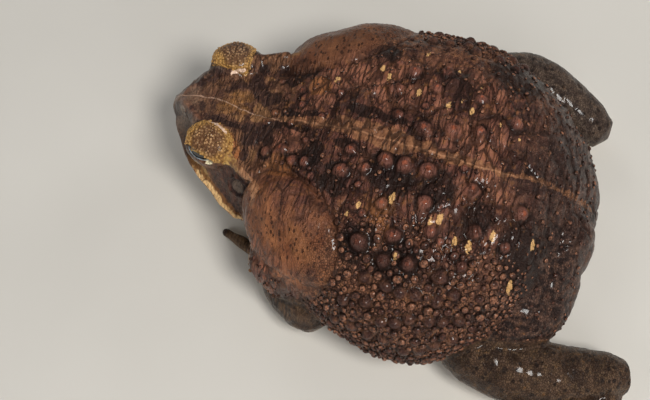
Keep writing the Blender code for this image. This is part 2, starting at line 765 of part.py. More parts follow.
def make_foot(tag, side, leg, shank):
    """Tarsus, toes and webs as one limb, then parted at the ankle."""
    pieces = [tube("part", leg["tarsus"], at=in_model)]
    (x, s, _), _ = leg["tarsus"][-1]
    root = in_model(x, s, 6)
    headings = [leg["heading"] + turn for turn in TOE_TURNS]
    roots = [digit_root(root, side, leg["heading"], (toe - 2) * TOE_SPREAD) for toe in range(5)]
    for start, heading, length in zip(roots, headings, TOE_LENGTHS):
        pieces.append(digit(start, side, heading, length, TOE_RADII))
    for i in range(len(headings) - 1):
        pieces.append(make_web(side, roots[i : i + 2], headings[i : i + 2], TOE_LENGTHS[i : i + 2]))
    foot = pieces[0]
    boolean(foot, "UNION", *pieces[1:])
    discard(*pieces[1:])
    keep_largest(foot)
    thin_out(foot, FOOT_TRIANGLES)
    level_on_floor(foot)
    mould = copy_of(foot, f"foot_mould_{tag}")
    clear_of(foot, shank)
    ahead = (in_model(*leg["tarsus"][-1][0]) - in_model(*leg["tarsus"][-2][0])).normalized()
    ankle = root - ahead * 3 * MM
    return mould, split_chain(foot, [(ankle, ahead)], [f"tarsus_{tag}", f"foot_{tag}"])


def wart(place, way, radius, height):
    """A low dome whose root is sunk in the skin."""
    bm = bmesh.new()
    turn = Vector(way).to_track_quat("Z", "Y").to_matrix()
    rings = []
    for share, level in ((0.8, -WART_ROOT), (1.0, 0.1), (WART_SHOULDER, height * 0.62 / MM)):
        angles = [2 * math.pi * k / WART_SIDES for k in range(WART_SIDES)]
        ring = [Vector((math.cos(a) * radius * share, math.sin(a) * radius * share, level * MM)) for a in angles]
        rings.append([place + turn @ p for p in ring])
    bm.free()
    return loft("wart", rings, place - turn.col[2] * WART_ROOT * MM * 1.2, place + turn.col[2] * height)


def surface_of(target):
    bm = bmesh.new()
    bm.from_mesh(target.data)
    tree = BVHTree.FromBMesh(bm)
    bm.free()
    return tree


def wart_places():
    """Start, way and size of a look at the skin for every wart of the trunk."""
    places = []
    for size, found in BACK_WARTS.items():
        for x, s in found:
            places.append((beside_spine(x, s, 200), Vector((0, 0, -1)), size))
    scatter = random.Random(WART_SEED)
    for side in (1, -1):
        for turn, first, last, count, size in FLANK_ROWS:
            for i in range(count):
                s = first + (last - first) * (i + 0.5) / count + scatter.uniform(-1, 1) * ROW_SCATTER
                angle = math.radians(turn + scatter.uniform(-1, 1) * ROW_SCATTER)
                way = Vector((side * math.sin(angle), 0, math.cos(angle)))
                places.append((beside_spine(0, s, AXIS_LEVEL) + way * 0.3, -way, size))
    return places


def add_warts(target, places, neighbours):
    """Fuses a wart to the target at each place, where it keeps off the neighbours and the warts before it."""
    skin = surface_of(target)
    others = [surface_of(neighbour) for neighbour in neighbours]
    group = bpy.data.collections.new("warts")
    bpy.context.scene.collection.children.link(group)
    taken = []
    for start, way, size in places:
        radius, height = [value * MM for value in WART_SIZES[size]]
        place, normal, _, _ = skin.ray_cast(start, way)
        if place is None:
            continue
        room = radius + WART_KEEP_OFF
        if any(other.find_nearest(place, room)[0] is not None for other in others):
            continue
        if any((place - middle).length < reach + radius * 0.75 for middle, reach in taken):
            continue
        taken.append((place, radius))
        dome = wart(place, normal, radius, height)
        bpy.context.scene.collection.objects.unlink(dome)
        group.objects.link(dome)
    step = target.modifiers.new("warts", "BOOLEAN")
    step.operation = "UNION"
    step.solver = "EXACT"
    step.operand_type = "COLLECTION"
    step.collection = group
    apply_modifiers(target)
    discard(*list(group.objects))
    bpy.data.collections.remove(group)
    keep_largest(target)


for old in list(bpy.data.objects):
    bpy.data.objects.remove(old)

body = make_body()
level_on_floor(body)
made = [body]

for side, tag in ((1, "left"), (-1, "right")):
    leg = LEGS[tag]
    shank = fuse(f"shank_{tag}", [tube("part", leg["shank"], at=in_model, sides=16)], LIMB_VOXEL, SHANK_TRIANGLES)
    level_on_floor(shank)
    foot_mould, foot_nodes = make_foot(tag, side, leg, shank)
    arm_mould, arm_nodes = make_arm(side, tag)
    clear_of(body, shank, foot_mould, arm_mould)
    discard(foot_mould, arm_mould)
    thigh = part_thigh(body, leg, f"thigh_{tag}")
    made += [shank, thigh, *foot_nodes, *arm_nodes]

made += part_head(body)
for node in made:
    drop_slivers(node)
head = bpy.data.objects["head"]
neck_places = [(beside_spine(x, s, 200), Vector((0, 0, -1)), size) for size, found in NECK_WARTS.items() for x, s in found]
add_warts(body, wart_places(), [node for node in made if node != body])
add_warts(head, neck_places, [node for node in made if node != head])
for node in made:
    give_finish(node)
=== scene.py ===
# %% [markdown]
# # A cane toad, life size
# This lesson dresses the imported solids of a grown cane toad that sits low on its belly. The solids give
# the sizes. The skin is built again here, much finer, from the same named sizes, so it fits over them.

# %% Load the solids
import itertools
import math
import random

import bmesh
import bpy
import numpy as np
from mathutils import Matrix, Vector
from mathutils.bvhtree import BVHTree
from mathutils.kdtree import KDTree


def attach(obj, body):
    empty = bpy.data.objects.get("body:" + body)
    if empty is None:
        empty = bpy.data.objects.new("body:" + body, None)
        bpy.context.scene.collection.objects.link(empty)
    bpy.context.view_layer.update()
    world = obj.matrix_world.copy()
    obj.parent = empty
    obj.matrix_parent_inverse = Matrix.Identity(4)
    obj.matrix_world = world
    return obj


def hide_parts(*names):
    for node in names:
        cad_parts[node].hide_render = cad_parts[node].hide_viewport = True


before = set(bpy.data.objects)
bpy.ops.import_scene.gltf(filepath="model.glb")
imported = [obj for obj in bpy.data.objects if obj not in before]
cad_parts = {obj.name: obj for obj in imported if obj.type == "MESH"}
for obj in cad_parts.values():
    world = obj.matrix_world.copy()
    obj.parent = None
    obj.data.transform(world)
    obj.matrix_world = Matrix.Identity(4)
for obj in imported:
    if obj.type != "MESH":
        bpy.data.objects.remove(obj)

for name in ("Cube", "Light", "Camera"):
    if name in bpy.data.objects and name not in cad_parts:
        bpy.data.objects.remove(bpy.data.objects[name])
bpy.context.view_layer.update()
print("nodes:", len(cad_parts))

# %% [markdown]
# ## The toad's own measures
# A toad is measured along its body. So a place is given as s, the distance behind the snout tip, and as
# the distance beside the spine, which bows a little to the toad's right. All tables are in millimetres.

# %% Sizes of trunk, head and glands
MM = 0.001
SNOUT_VENT = 235
SNOUT_TO_ORIGIN = 130
BOW = {"snout": 19, "middle": 3.5, "vent": 17, "middle_s": 150}
# Trunk stations: s, half width, top, widest level, bottom
TRUNK = [
    (40, 34, 66, 42, 26), (60, 52, 77, 43, 16), (78, 68, 85, 44, 4), (100, 81, 92, 44, -3),
    (125, 88, 97, 44, -5), (150, 91, 98, 44, -6), (175, 83, 95, 43, -5), (196, 69, 86, 42, -3),
    (213, 52, 72, 39, 2), (226, 34, 55, 36, 12), (233, 17, 43, 33, 23),
]
TRUNK_END_S = 235.5
TRUNK_POWERS = (2.2, 2.6)
# Head stations: s, half width, top, lip level, bottom
HEAD = [
    (2.5, 9.5, 54, 46, 41), (7, 14.8, 60, 43, 35), (15, 23, 65, 40, 28), (27, 32, 70, 37, 21),
    (41, 41, 73, 35, 16), (54, 46, 75, 35, 14), (70, 49, 78, 37, 13), (84, 50, 81, 39, 13),
]
HEAD_TIP = (0.5, 49)
UPPER_SNOUT = [(1.0, 0.0), (0.93, 0.2), (0.79, 0.5), (0.62, 0.8), (0.45, 0.97), (0.24, 1.0), (0.0, 0.97)]
UPPER_TEMPLE = [(1.0, 0.0), (0.99, 0.2), (0.92, 0.44), (0.79, 0.68), (0.6, 0.88), (0.3, 0.98), (0.0, 0.96)]
LOWER_FACE = [(1.0, 0.0), (0.95, 0.22), (0.80, 0.60), (0.50, 0.90), (0.0, 1.0)]
GLAND = {"centre": (54.5, 86.5, 61), "radii": (26.5, 38, 17), "root": (28, 39.5, 22)}
GLAND_TURN = math.radians(32)
GLAND_TILT = math.radians(48)
GLAND_AHEAD = {1: 2.4, -1: 0.0}
GLAND_ROOT_IN = {1: 3.6, -1: 0.0}
SHOULDER = {"centre": (57, 92, 40), "radii": (23, 30, 24)}
EYE_CENTRE = (24.5, 28, 63.5)
EYE_RADIUS = 9.6
EYE_OUTWARD = (0.95, -0.22, 0.22)
EYE_HUMP = (12.2, 15.0, 13.2)
HUMP_SHIFT = {1: (-0.8, 2.4, 0.6), -1: (0.8, 1.0, 1.0)}
# Where each lid ends towards the spine and at the rear
LID_ENDS = {1: (15.2, 45), -1: (18.2, 37.2)}
SLIT = {"length": 18.5, "height": 5.2, "rise": 2.7, "ahead": 1.0, "fall": math.radians(6)}
EYE_CORNER = (6.5, 1.3)
TYMPANUM = {"centre": (38.5, 48.5, 57), "way": (0.8, 0.05, 0.58), "radius": 3.9}
NOSTRIL = (9.0, 6.6, 58.7)
NOSTRIL_REACH = (0.8, 0.75, 0.8)
MOUTH_LINE = [(-12, 45.5), (-2, 45.5), (6, 42.5), (18, 39.5), (32, 37.5), (46, 36.5), (58, 37), (66, 37)]

# %% Sizes of ridges and limbs
CANTHUS = [((6.5, 7, 57.5), 2.4), ((10.5, 12, 61.5), 2.6), ((14.5, 19, 66), 2.6)]
EAR_RIDGE = [((26, 39, 64), 3.8), ((29.5, 49, 66), 4.2), ((35, 60, 68), 5.0)]
RIGHT_TEMPLE = [((-31, 41, 69), 3.4), ((-33.8, 49, 70.3), 3.6), ((-37, 57, 71.5), 4.2)]
SNOUT_CREST = [((2.2, 5.0, 59.5), 2), ((7.5, 12.3, 64.3), 2), ((12, 17.1, 67), 2), ((13.9, 23, 71), 2)]
LIP = [
    ((0, 1.6, 47.5), 2.2), ((9, 3.5, 47), 2.4), ((15.5, 8, 44.5), 2.7), ((23.5, 16, 42), 2.9),
    ((32.5, 28, 39.5), 3.0), ((41, 42, 38.5), 3.1), ((44.5, 51, 38.8), 3.3),
]
BACK_FOLD = [((-6, 94, 88.5), 3.6), ((-14, 101, 90.5), 4.8), ((-23, 108, 90.5), 4.2)]
UPPER_ARM = [((57, 89, 32), 11.5), ((67, 96, 27), 13.5), ((74, 98, 21), 13.3)]
FOREARM = [((74, 98, 20), 13.5), ((64, 84, 15.5), 14), ((52, 72, 10.5), 9.5)]
PALM = [((52, 72, 8.5), 8.5), ((43, 65, 6.6), 8.4)]
HAND = {
    "root": (46, 68), "heading": math.radians(-64), "turns": [math.radians(a) for a in (-32, -6, 18, 44)],
    "lengths": (26, 29, 35, 25), "radii": (4.8, 3.0), "spread": 4.0,
}
LEGS = {
    1: {
        "thigh": [((18, 207, 40), 25), ((42, 202, 34), 25), ((63, 188, 24), 14)],
        "shank": [((68, 186, 23), 16.5), ((71, 212, 22), 18), ((66, 238, 19), 15.5), ((60, 257, 16), 13)],
        "tarsus": [((61, 257, 14), 9.5), ((78, 256, 12), 10.5), ((99, 247, 8.5), 9)],
        "heading": math.radians(55),
    },
    -1: {
        "thigh": [((-40, 202, 40), 22), ((-60, 180, 36), 22), ((-80, 156, 26), 14)],
        "shank": [((-86, 154, 25), 16), ((-96, 184, 24), 18), ((-90, 208, 20), 15.5), ((-84, 223, 17), 13)],
        "tarsus": [((-84, 222, 12), 9), ((-92, 202, 10), 10), ((-98, 180, 8), 8.6)],
        "heading": math.radians(-8),
    },
}
FOOT = {
    "turns": [math.radians(a) for a in (-42, -24, -7, 9, 33)], "lengths": (36, 45, 58, 74, 48),
    "radii": (5.4, 3.2), "spread": 4.6, "web_reach": 0.62, "web_hollow": 0.25, "web_thickness": 1.6,
}


# %% From the toad's measures to places, and back
def bow(s):
    """Sideways place of the spine at s, in millimetres, for one s or an array."""
    s = np.asarray(s, float)
    ahead = np.clip((BOW["middle_s"] - s) / BOW["middle_s"], 0, 1)
    behind = np.clip((s - BOW["middle_s"]) / (SNOUT_VENT - BOW["middle_s"]), 0, None)
    front = (BOW["snout"] - BOW["middle"]) * ahead**1.2
    return -BOW["middle"] - front - (BOW["vent"] - BOW["middle"]) * behind**2


def in_model(x, s, z):
    return Vector((x, s - SNOUT_TO_ORIGIN, z)) * MM


def beside_spine(x, s, z):
    return in_model(x + float(bow(s)), s, z)


def toad_measures(points):
    """s, distance beside the spine and height of many points, in millimetres."""
    s = points[:, 1] / MM + SNOUT_TO_ORIGIN
    return s, points[:, 0] / MM - bow(s), points[:, 2] / MM


def read_smoothly(stations, at):
    """The row of a table at the given first value, on a smooth curve through its rows."""
    table = np.array(stations, float)
    keys = table[:, 0]
    slopes = np.gradient(table[:, 1:], keys, axis=0)
    i = int(np.clip(np.searchsorted(keys, at) - 1, 0, len(keys) - 2))
    span = keys[i + 1] - keys[i]
    t = float(np.clip((at - keys[i]) / span, 0, 1))
    row = (
        (2 * t**3 - 3 * t**2 + 1) * table[i, 1:] + (t**3 - 2 * t**2 + t) * span * slopes[i]
        + (3 * t**2 - 2 * t**3) * table[i + 1, 1:] + (t**3 - t**2) * span * slopes[i + 1]
    )
    return [float(value) for value in row]


print("spine bows", round(float(bow(0)), 1), "mm at the snout")


# %% [markdown]
# ## Forms under the skin
# The body is a set of closed forms that overlap: lofts for trunk and head, ellipsoids for glands and eye
# humps, tapering tubes for limbs, toes, lips and ridges. Each could be sculpted by hand, but rings from a
# table keep every size named. A voxel remesh then melts them into one skin, as muscle melts into skin.

# %% Tools for closed forms
def add_object(name, bm):
    bm.normal_update()
    mesh = bpy.data.meshes.new(name)
    bm.to_mesh(mesh)
    bm.free()
    made = bpy.data.objects.new(name, mesh)
    bpy.context.scene.collection.objects.link(made)
    return made


def loft(name, rings, first_pole, last_pole):
    bm = bmesh.new()
    rows = [[bm.verts.new(p) for p in ring] for ring in rings]
    for low, high in zip(rows, rows[1:]):
        for i in range(len(low)):
            j = (i + 1) % len(low)
            bm.faces.new((low[i], low[j], high[j], high[i]))
    for pole, row, turn in ((first_pole, rows[0], 1), (last_pole, rows[-1], -1)):
        tip = bm.verts.new(pole)
        for i in range(len(row)):
            bm.faces.new((tip, *(row[i], row[(i + 1) % len(row)])[::-turn]))
    bmesh.ops.recalc_face_normals(bm, faces=bm.faces)
    return add_object(name, bm)


def ellipsoid(name, centre, radii, turn=None, segments=48, rings=28):
    bm = bmesh.new()
    bmesh.ops.create_uvsphere(bm, u_segments=segments, v_segments=rings, radius=MM)
    turned = (turn or Matrix.Identity(3)).to_4x4()
    size = Matrix.Diagonal((*radii, 1))
    bmesh.ops.transform(bm, matrix=Matrix.Translation(centre) @ turned @ size, verts=bm.verts)
    return add_object(name, bm)


def tube(name, path, at=beside_spine, sides=24, step=3.0):
    """A round tapering tube through places and radii, with domed ends."""
    places = [at(*place) for place, _ in path]
    keyed = []
    run = 0.0
    for i, (place, (_, radius)) in enumerate(zip(places, path)):
        if i:
            run += (place - places[i - 1]).length
        keyed.append((run, *place, radius * MM))
    rows = max(2, math.ceil(run / (step * MM)))
    samples = [read_smoothly(keyed, run * i / rows) for i in range(rows + 1)]
    line = [Vector(sample[:3]) for sample in samples]
    radii = [sample[3] for sample in samples]
    first_way = (line[1] - line[0]).normalized()
    last_way = (line[-1] - line[-2]).normalized()
    stops = [(line[0] - first_way * radii[0] * 0.7, radii[0] * 0.7, first_way)]
    for i in range(rows + 1):
        way = (line[min(i + 1, rows)] - line[max(i - 1, 0)]).normalized()
        stops.append((line[i], radii[i], way))
    stops.append((line[-1] + last_way * radii[-1] * 0.7, radii[-1] * 0.7, last_way))
    rings = []
    for centre, radius, way in stops:
        across = way.cross(Vector((0, 0, 1))).normalized()
        up = across.cross(way)
        angles = [2 * math.pi * k / sides for k in range(sides)]
        rings.append([centre + (across * math.cos(a) + up * math.sin(a)) * radius for a in angles])
    return loft(name, rings, line[0] - first_way * radii[0], line[-1] + last_way * radii[-1])


def mirrored(path, side):
    return [((side * x, s, z), radius) for (x, s, z), radius in path]


def signed_power(value, power):
    return math.copysign(abs(value) ** power, value)


def apply_modifiers(target):
    graph = bpy.context.evaluated_depsgraph_get()
    mesh = bpy.data.meshes.new_from_object(target.evaluated_get(graph))
    target.modifiers.clear()
    target.data = mesh


def discard(*objects):
    for used in objects:
        bpy.data.objects.remove(used)


def melt(name, pieces, voxel, smoothing):
    """One skin over overlapping closed pieces, softened."""
    bm = bmesh.new()
    for piece in pieces:
        bm.from_mesh(piece.data)
    discard(*pieces)
    body = add_object(name, bm)
    remesh = body.modifiers.new("melt", "REMESH")
    remesh.mode = "VOXEL"
    remesh.voxel_size = voxel * MM
    soften = body.modifiers.new("soften", "SMOOTH")
    soften.factor = 0.5
    soften.iterations = smoothing
    apply_modifiers(body)
    return body


# %% Trunk and head lofts
def make_trunk(rings_wanted=64, sides=96):
    rings = []
    first, last = TRUNK[0][0], TRUNK[-1][0]
    for i in range(rings_wanted):
        t = i / (rings_wanted - 1)
        s = first + (last - first) * 0.5 * (t + math.sin(t * math.pi / 2))
        half, top, wide, bottom = read_smoothly(TRUNK, s)
        ring = []
        for k in range(sides):
            angle = 2 * math.pi * k / sides
            upper = math.sin(angle) > 0
            power = TRUNK_POWERS[0] if upper else TRUNK_POWERS[1]
            reach = top - wide if upper else wide - bottom
            x = half * signed_power(math.cos(angle), 2 / power)
            ring.append(beside_spine(x, s, wide + reach * signed_power(math.sin(angle), 2 / power)))
        rings.append(ring)
    front = beside_spine(0, first - 4, TRUNK[0][3])
    return loft("trunk", rings, front, beside_spine(0, TRUNK_END_S, TRUNK[-1][3]))


def head_section(s):
    half, top, lip, bottom = read_smoothly(HEAD, s)
    temple = min(max((s - 8) / 38, 0), 1)
    upper = [
        ((1 - temple) * a[0] + temple * b[0], (1 - temple) * a[1] + temple * b[1])
        for a, b in zip(UPPER_SNOUT, UPPER_TEMPLE)
    ]
    points = [(x * half, lip + z * (top - lip)) for x, z in upper]
    points += [(-x, z) for x, z in reversed(points[:-1])]
    lower = [(x * half, lip - z * (lip - bottom)) for x, z in LOWER_FACE[1:]]
    points += [(-x, z) for x, z in lower]
    points += list(reversed(lower[:-1]))
    return [beside_spine(x, s, z) for x, z in points]


def make_head(rings_wanted=34):
    first, last = HEAD[0][0], HEAD[-1][0]
    shares = [i / (rings_wanted - 1) for i in range(rings_wanted)]
    rings = [head_section(first + (last - first) * (0.35 * t + 0.65 * t**2)) for t in shares]
    return loft("head", rings, beside_spine(0, *HEAD_TIP), beside_spine(0, last + 3, HEAD[-1][3]))


def gland_centre(side):
    x, s, z = GLAND["centre"]
    return beside_spine(side * x, s + GLAND_AHEAD[side], z)


def gland_turn(side):
    return Matrix.Rotation(-side * GLAND_TURN, 3, "Z") @ Matrix.Rotation(side * GLAND_TILT, 3, "Y")


def eye_frame(side):
    """The eye's centre, its outward way, and axes along the slit, across it and outwards."""
    centre = beside_spine(side * EYE_CENTRE[0], EYE_CENTRE[1], EYE_CENTRE[2])
    outward = Vector((side * EYE_OUTWARD[0], EYE_OUTWARD[1], EYE_OUTWARD[2])).normalized()
    along = (Vector((0, 1, 0)) - outward * outward.y).normalized()
    along = Matrix.Rotation(-side * SLIT["fall"], 3, outward) @ along
    across = outward.cross(along)
    if across.z < 0:
        across.negate()
    return centre, outward, Matrix((along, across, along.cross(across))).transposed()


def hump_shift(side):
    return Vector((side * HUMP_SHIFT[side][0], *HUMP_SHIFT[side][1:])) * MM


# %% Melt trunk, head, glands and thighs
pieces = [make_trunk(), make_head(), tube("fold", BACK_FOLD)]
for side in (1, -1):
    hump_turn = Matrix.Rotation(side * -0.25, 3, "Z")
    pieces.append(ellipsoid("hump", eye_frame(side)[0] + hump_shift(side), EYE_HUMP, hump_turn))
    pieces.append(ellipsoid("gland", gland_centre(side), GLAND["radii"], gland_turn(side)))
    shoulder_place = beside_spine(side * SHOULDER["centre"][0], *SHOULDER["centre"][1:])
    pieces.append(ellipsoid("shoulder", shoulder_place, SHOULDER["radii"]))
    pieces.append(tube("thigh", LEGS[side]["thigh"], at=in_model, sides=36))
    for ridge in (CANTHUS, EAR_RIDGE, LIP):
        pieces.append(tube("ridge", mirrored(ridge, side), step=2))
pieces += [ellipsoid("hip", in_model(7, 213, 42), (24, 22, 26)), tube("temple", RIGHT_TEMPLE, step=2)]
trunk_skin = melt("trunk_skin", pieces, voxel=1.1, smoothing=14)
print("trunk skin:", len(trunk_skin.data.vertices), "points")


# %% [markdown]
# ## Hands, feet and webs
# A toad's hand has four short fingers and its foot five toes joined by webs to about their middle. The
# digits swell a little at each joint. They are tubes along the floor, and a web is a thin hollowed sheet.

# %% Digits, webs, arms and legs
def ahead(side, heading):
    return Vector((side * math.sin(heading), -math.cos(heading), 0))


def digit_root(root, side, heading, spread):
    return root + Vector((side * math.cos(heading), math.sin(heading), 0)) * spread * MM


def digit_path(root, side, heading, length, radii):
    path = []
    for share, swell in ((0.0, 1.15), (0.35, 0.86), (0.55, 0.92), (0.8, 0.74), (0.97, 0.82)):
        radius = (radii[1] + (radii[0] - radii[1]) * (1 - share)) * swell
        place = root + ahead(side, heading) * length * share * MM
        path.append(((place.x / MM, place.y / MM + SNOUT_TO_ORIGIN, radius - 0.25), radius))
    return path


def make_web(side, roots, headings, lengths):
    ends = [
        root + ahead(side, heading) * length * FOOT["web_reach"] * MM
        for root, heading, length in zip(roots, headings, lengths)
    ]
    hollow = (ends[0] + ends[1]) / 2
    hollow += ((roots[0] + roots[1]) / 2 - hollow) * FOOT["web_hollow"]
    corners = [roots[0], ends[0], hollow, ends[1], roots[1]]
    bm = bmesh.new()
    low = [bm.verts.new((p.x, p.y, 0.4 * MM)) for p in corners]
    high = [bm.verts.new((p.x, p.y, (0.4 + FOOT["web_thickness"]) * MM)) for p in corners]
    bm.faces.new(low)
    bm.faces.new(high[::-1])
    for i in range(len(low)):
        j = (i + 1) % len(low)
        bm.faces.new((low[i], high[i], high[j], low[j]))
    bmesh.ops.recalc_face_normals(bm, faces=bm.faces)
    return add_object("web", bm)


limb_paths = []
digit_paths = []
pieces = [trunk_skin]
for side in (1, -1):
    limb_paths += [[(beside_spine(side * x, s, z), r) for (x, s, z), r in path] for path in (UPPER_ARM, FOREARM, PALM)]
    pieces += [tube("arm", mirrored(path, side)) for path in (UPPER_ARM, FOREARM, PALM)]
    root = beside_spine(side * HAND["root"][0], HAND["root"][1], 6)
    for finger, (turn, length) in enumerate(zip(HAND["turns"], HAND["lengths"])):
        start = digit_root(root, side, HAND["heading"], (finger - 1.5) * HAND["spread"])
        digit_paths.append(digit_path(start, side, HAND["heading"] + turn, length, HAND["radii"]))
    leg = LEGS[side]
    for part in ("shank", "tarsus"):
        pieces.append(tube(part, leg[part], at=in_model, sides=32))
        limb_paths.append([(in_model(*place), r) for place, r in leg[part]])
    (x, s, _), _ = leg["tarsus"][-1]
    headings = [leg["heading"] + turn for turn in FOOT["turns"]]
    roots = [digit_root(in_model(x, s, 6), side, leg["heading"], (toe - 2) * FOOT["spread"]) for toe in range(5)]
    for start, heading, length in zip(roots, headings, FOOT["lengths"]):
        digit_paths.append(digit_path(start, side, heading, length, FOOT["radii"]))
    for i in range(4):
        pieces.append(make_web(side, roots[i : i + 2], headings[i : i + 2], FOOT["lengths"][i : i + 2]))
pieces += [tube("digit", path, at=in_model, sides=20, step=2) for path in digit_paths]
skin = melt("toad_skin", pieces, voxel=0.85, smoothing=3)
print("whole skin:", len(skin.data.vertices), "points")


# %% Flatten what rests on the floor
def box_between(name, low, high):
    bm = bmesh.new()
    bmesh.ops.create_cube(bm, size=1)
    middle = (Vector(low) + Vector(high)) / 2
    size = Matrix.Diagonal((*(Vector(high) - Vector(low)), 1))
    bmesh.ops.transform(bm, matrix=Matrix.Translation(middle) @ size, verts=bm.verts)
    return add_object(name, bm)


def cut_away(target, *cutters):
    for cutter in cutters:
        cut = target.modifiers.new("cut", "BOOLEAN")
        cut.operation = "DIFFERENCE"
        cut.solver = "MANIFOLD"
        cut.object = cutter
    apply_modifiers(target)
    discard(*cutters)


cut_away(skin, box_between("below_floor", (-0.4, -0.4, -0.1), (0.4, 0.4, 0.0)))


def read_points(target):
    mesh = target.data
    points = np.empty(len(mesh.vertices) * 3, np.float32)
    mesh.vertices.foreach_get("co", points)
    return points.reshape(-1, 3).astype(float)


def read_normals(target):
    mesh = target.data
    normals = np.empty(len(mesh.vertices) * 3, np.float32)
    mesh.vertex_normals.foreach_get("vector", normals)
    return normals.reshape(-1, 3).astype(float)


def write_points(target, points):
    target.data.vertices.foreach_set("co", points.astype(np.float32).ravel())
    target.data.update()


print("resting points:", int((read_points(skin)[:, 2] < 1e-6).sum()))


# %% [markdown]
# ## Where each kind of skin lies
# Gland, eyelid, cheek, lip, belly and leg differ in relief and in colour, and both have to agree. So one
# set of functions tells for any point how much of each kind it has, from 0 to 1, out of the named sizes.

# %% Masks from the named sizes
def smooth_step(value, low, high):
    t = np.clip((value - low) / (high - low), 0, 1)
    return t * t * (3 - 2 * t)


def ridge(value, middle, width):
    """1 at the middle and falling to 0 on both sides."""
    return np.exp(-(((value - middle) / width) ** 2))


def reach_of_ellipsoid(points, centre, radii, turn):
    """0 at the centre of an ellipsoid and 1 on its surface, for each point."""
    local = (points - np.array(centre)) @ np.array(turn)
    return np.linalg.norm(local / (np.array(radii) * MM), axis=1)


def gland_reach(points):
    """The smaller of the reaches of both parotoid glands."""
    reaches = []
    for side in (1, -1):
        centre = gland_centre(side) - Vector((side * GLAND_ROOT_IN[side], 0, 0)) * MM
        reaches.append(reach_of_ellipsoid(points, centre, GLAND["root"], gland_turn(side)))
    return np.minimum(*reaches)


def lid_reach(points):
    """0 in the middle of an upper eyelid's pad and 1 at its rim, and large below the eye's slit."""
    reach = np.full(len(points), 9.0)
    for side in (1, -1):
        centre, outward, axes = eye_frame(side)
        up = axes.col[1]
        pad = centre + hump_shift(side) * 0.6 + (outward * 1.4 + up * 3.0) * MM
        found = reach_of_ellipsoid(points, pad, (13.6, 11.2, 11.8), axes)
        above = (points - np.array(centre)) @ np.array(up) / MM
        s, x, _ = toad_measures(points)
        brow, rear = LID_ENDS[side]
        found = found + 0.14 * (np.clip(brow - side * x, 0, None) + np.clip(s - rear, 0, None))
        reach = np.minimum(reach, np.where(above > SLIT["rise"] - 0.4, found, 9.0))
    return reach


def lid_disc(points):
    """0 in the middle of an upper eyelid seen from above it, and 1 at its edge."""
    disc = np.full(len(points), 9.0)
    for side in (1, -1):
        up = Vector((side * 0.42, -0.08, 0.9)).normalized()
        along = (Vector((0, 1, 0)) - up * up.y).normalized()
        across = up.cross(along)
        middle = eye_frame(side)[0] + hump_shift(side) - across * (2.0 if across.x * side > 0 else -2.0) * MM
        off = (points - np.array(middle)) / MM
        found = np.hypot(off @ np.array(along) / 13.2, off @ np.array(across) / 12.0)
        disc = np.where(off @ np.array(up) > 1.0, np.minimum(disc, found), disc)
    return disc


def reach_of_paths(points, paths):
    """Distance to the nearest path, with the path's own radius as 1, and the share along that path."""
    nearest = np.full(len(points), 99.0)
    share = np.zeros(len(points))
    for path in paths:
        for i, ((a, ra), (b, rb)) in enumerate(zip(path, path[1:])):
            a, b = np.array(a), np.array(b)
            t = np.clip((points - a) @ (b - a) / ((b - a) @ (b - a)), 0, 1)
            gap = np.linalg.norm(points - a - t[:, None] * (b - a), axis=1) / ((ra + (rb - ra) * t) * MM)
            closer = gap < nearest
            nearest[closer] = gap[closer]
            share[closer] = (i + t[closer]) / (len(path) - 1)
    return nearest, share


def snout_crest(points):
    """1 along the crests from the nostrils to the eyelids, and 0 a few millimetres off."""
    paths = [[(beside_spine(side * px, ps, pz), r) for (px, ps, pz), r in SNOUT_CREST] for side in (1, -1)]
    return ridge(reach_of_paths(points, paths)[0], 0, 0.75)


def trunk_turn(x, z):
    """How far round the trunk a point lies from straight up, in degrees."""
    return np.degrees(np.arctan2(np.abs(x), z - 44))


def hashed(cell, seed):
    """A fixed random value from 0 to 1 for each whole-numbered cell."""
    key = cell * np.array([73856093, 19349663, 83492791])
    mixed = (key[:, 0] ^ key[:, 1] ^ key[:, 2] ^ (seed * 2654435761)) & 0xFFFFFFFF
    mixed = (mixed * 1664525 + 1013904223) & 0xFFFFFFFF
    mixed = ((mixed ^ (mixed >> 15)) * 2246822519) & 0xFFFFFFFF
    return ((mixed >> 8) & 0xFFFF) / 65535


def lattice_noise(points, size, seed):
    """Smooth noise from -1 to 1 with bumps of a size in millimetres."""
    place = points / (size * MM)
    cell = np.floor(place).astype(np.int64)
    t = place - cell
    t = t * t * (3 - 2 * t)
    total = np.zeros(len(points))
    for corner in itertools.product((0, 1), repeat=3):
        weight = np.prod(np.where(np.array(corner), t, 1 - t), axis=1)
        total += hashed(cell + corner, seed) * weight
    return 2 * total - 1


def wall_distance(points, size, seed):
    """0 on the walls between random cells of a size in millimetres, and more inside them."""
    place = points / (np.array(size) * MM)
    cell = np.floor(place).astype(np.int64)
    first = np.full(len(points), 9.0)
    second = np.full(len(points), 9.0)
    for shift in itertools.product((-1, 0, 1), repeat=3):
        corner = cell + shift
        spot = corner + np.stack([hashed(corner, seed + axis) for axis in range(3)], axis=1)
        gap = np.linalg.norm(place - spot, axis=1)
        second = np.where(gap < first, first, np.minimum(second, gap))
        first = np.minimum(first, gap)
    return second - first


digit_lines = [[(in_model(*place), r) for place, r in path] for path in digit_paths]
print("paths of limbs and digits:", len(limb_paths), len(digit_lines))

# %% [markdown]
# ## Warts
# A cane toad's warts are domes with a dark horny point. The largest stand singly on the back and in rows on
# the flanks. The table gives them in the measures of the toad, and a ray finds the skin under each.

